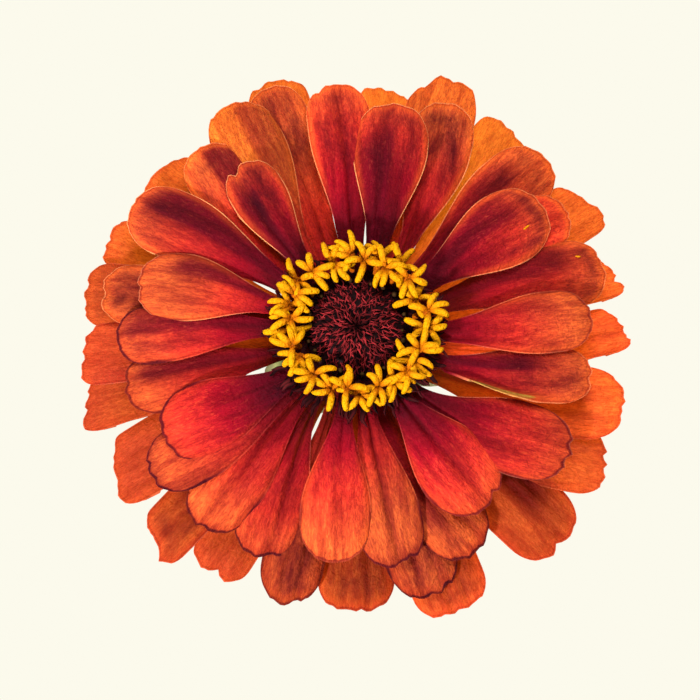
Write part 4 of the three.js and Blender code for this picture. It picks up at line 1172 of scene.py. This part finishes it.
class ZinniaStageSettings(bpy.types.PropertyGroup):
    floor_colour: bpy.props.FloatVectorProperty(
        name="Floor colour", description="Cream of the light table", subtype="COLOR", size=3,
        default=(0.973, 0.955, 0.84))
    floor_glow: number_setting("Floor glow", "Strength of the light that the table sends up", 1.8)
    air_light: number_setting("Air light", "Soft light from all round", 0.22)
    key_light: number_setting("Key light", "Low softbox on the viewer's side", 17.1, unit="POWER")
    fill_light: number_setting("Fill light", "Softbox opposite the key", 14.45, unit="POWER")
    camera_elevation: number_setting("Camera elevation", "Angle of view above the table, in degrees", 80)
    view_width: number_setting("View width", "Width seen by the camera at the flower, in millimetres", 102.9)


class ZINNIA_OT_bract_cup(bpy.types.Operator):
    """Green cup of overlapping bracts with its flush cut face"""
    bl_idname = "zinnia.bract_cup"
    bl_label = "Bract Cup"

    def execute(self, context):
        build_bracts(context.scene.zinnia_bracts)
        return {"FINISHED"}


class ZINNIA_OT_outer_petals(bpy.types.Operator):
    """Orange petals of the lowest rows"""
    bl_idname = "zinnia.outer_petals"
    bl_label = "Outer Petals"

    def execute(self, context):
        settings = context.scene.zinnia_petals
        build_petals("outer_petals", OUTER, CUP_TOP, OUTER_TOP, outer_petal_material(settings), settings)
        return {"FINISHED"}


class ZINNIA_OT_middle_petals(bpy.types.Operator):
    """Red orange petals of the rows between"""
    bl_idname = "zinnia.middle_petals"
    bl_label = "Middle Petals"

    def execute(self, context):
        settings = context.scene.zinnia_petals
        build_petals("middle_petals", MIDDLE, OUTER_TOP, MIDDLE_TOP, middle_petal_material(settings), settings)
        return {"FINISHED"}


class ZINNIA_OT_inner_petals(bpy.types.Operator):
    """Red petals of the top rows"""
    bl_idname = "zinnia.inner_petals"
    bl_label = "Inner Petals"

    def execute(self, context):
        settings = context.scene.zinnia_petals
        build_petals("inner_petals", INNER, MIDDLE_TOP, INNER_TOP, inner_petal_material(settings), settings)
        return {"FINISHED"}


class ZINNIA_OT_dark_disc(bpy.types.Operator):
    """Dark dome of chaff scales"""
    bl_idname = "zinnia.dark_disc"
    bl_label = "Dark Disc"

    def execute(self, context):
        build_disc(context.scene.zinnia_centre)
        return {"FINISHED"}


class ZINNIA_OT_yellow_florets(bpy.types.Operator):
    """Ring of open star florets"""
    bl_idname = "zinnia.yellow_florets"
    bl_label = "Yellow Florets"

    def execute(self, context):
        build_florets(context.scene.zinnia_centre)
        return {"FINISHED"}


class ZINNIA_OT_stage(bpy.types.Operator):
    """Pale floor, soft lights and camera"""
    bl_idname = "zinnia.stage"
    bl_label = "Stage"

    def execute(self, context):
        build_stage(context.scene.zinnia_stage)
        return {"FINISHED"}


class ZINNIA_PT_panel(bpy.types.Panel):
    bl_label = "Zinnia Flower"
    bl_idname = "ZINNIA_PT_panel"
    bl_space_type = "VIEW_3D"
    bl_region_type = "UI"
    bl_category = "Zinnia"

    def draw(self, context):
        for piece in PIECES:
            self.layout.operator(piece.bl_idname)


PIECES = (ZINNIA_OT_bract_cup, ZINNIA_OT_outer_petals, ZINNIA_OT_middle_petals, ZINNIA_OT_inner_petals,
          ZINNIA_OT_dark_disc, ZINNIA_OT_yellow_florets, ZINNIA_OT_stage)
SETTINGS = {"zinnia_petals": ZinniaPetalSettings, "zinnia_centre": ZinniaCentreSettings,
            "zinnia_bracts": ZinniaBractSettings, "zinnia_stage": ZinniaStageSettings}
CLASSES = (*SETTINGS.values(), *PIECES, ZINNIA_PT_panel)


def register():
    for cls in CLASSES:
        bpy.utils.register_class(cls)
    for name, kind in SETTINGS.items():
        setattr(bpy.types.Scene, name, bpy.props.PointerProperty(type=kind))


def unregister():
    for name in SETTINGS:
        delattr(bpy.types.Scene, name)
    for cls in reversed(CLASSES):
        bpy.utils.unregister_class(cls)


def main():
    register()
    bpy.ops.zinnia.bract_cup()
    bpy.ops.zinnia.outer_petals()
    bpy.ops.zinnia.middle_petals()
    bpy.ops.zinnia.inner_petals()
    bpy.ops.zinnia.dark_disc()
    bpy.ops.zinnia.yellow_florets()
    bpy.ops.zinnia.stage()


if __name__ == "__main__":
    main()
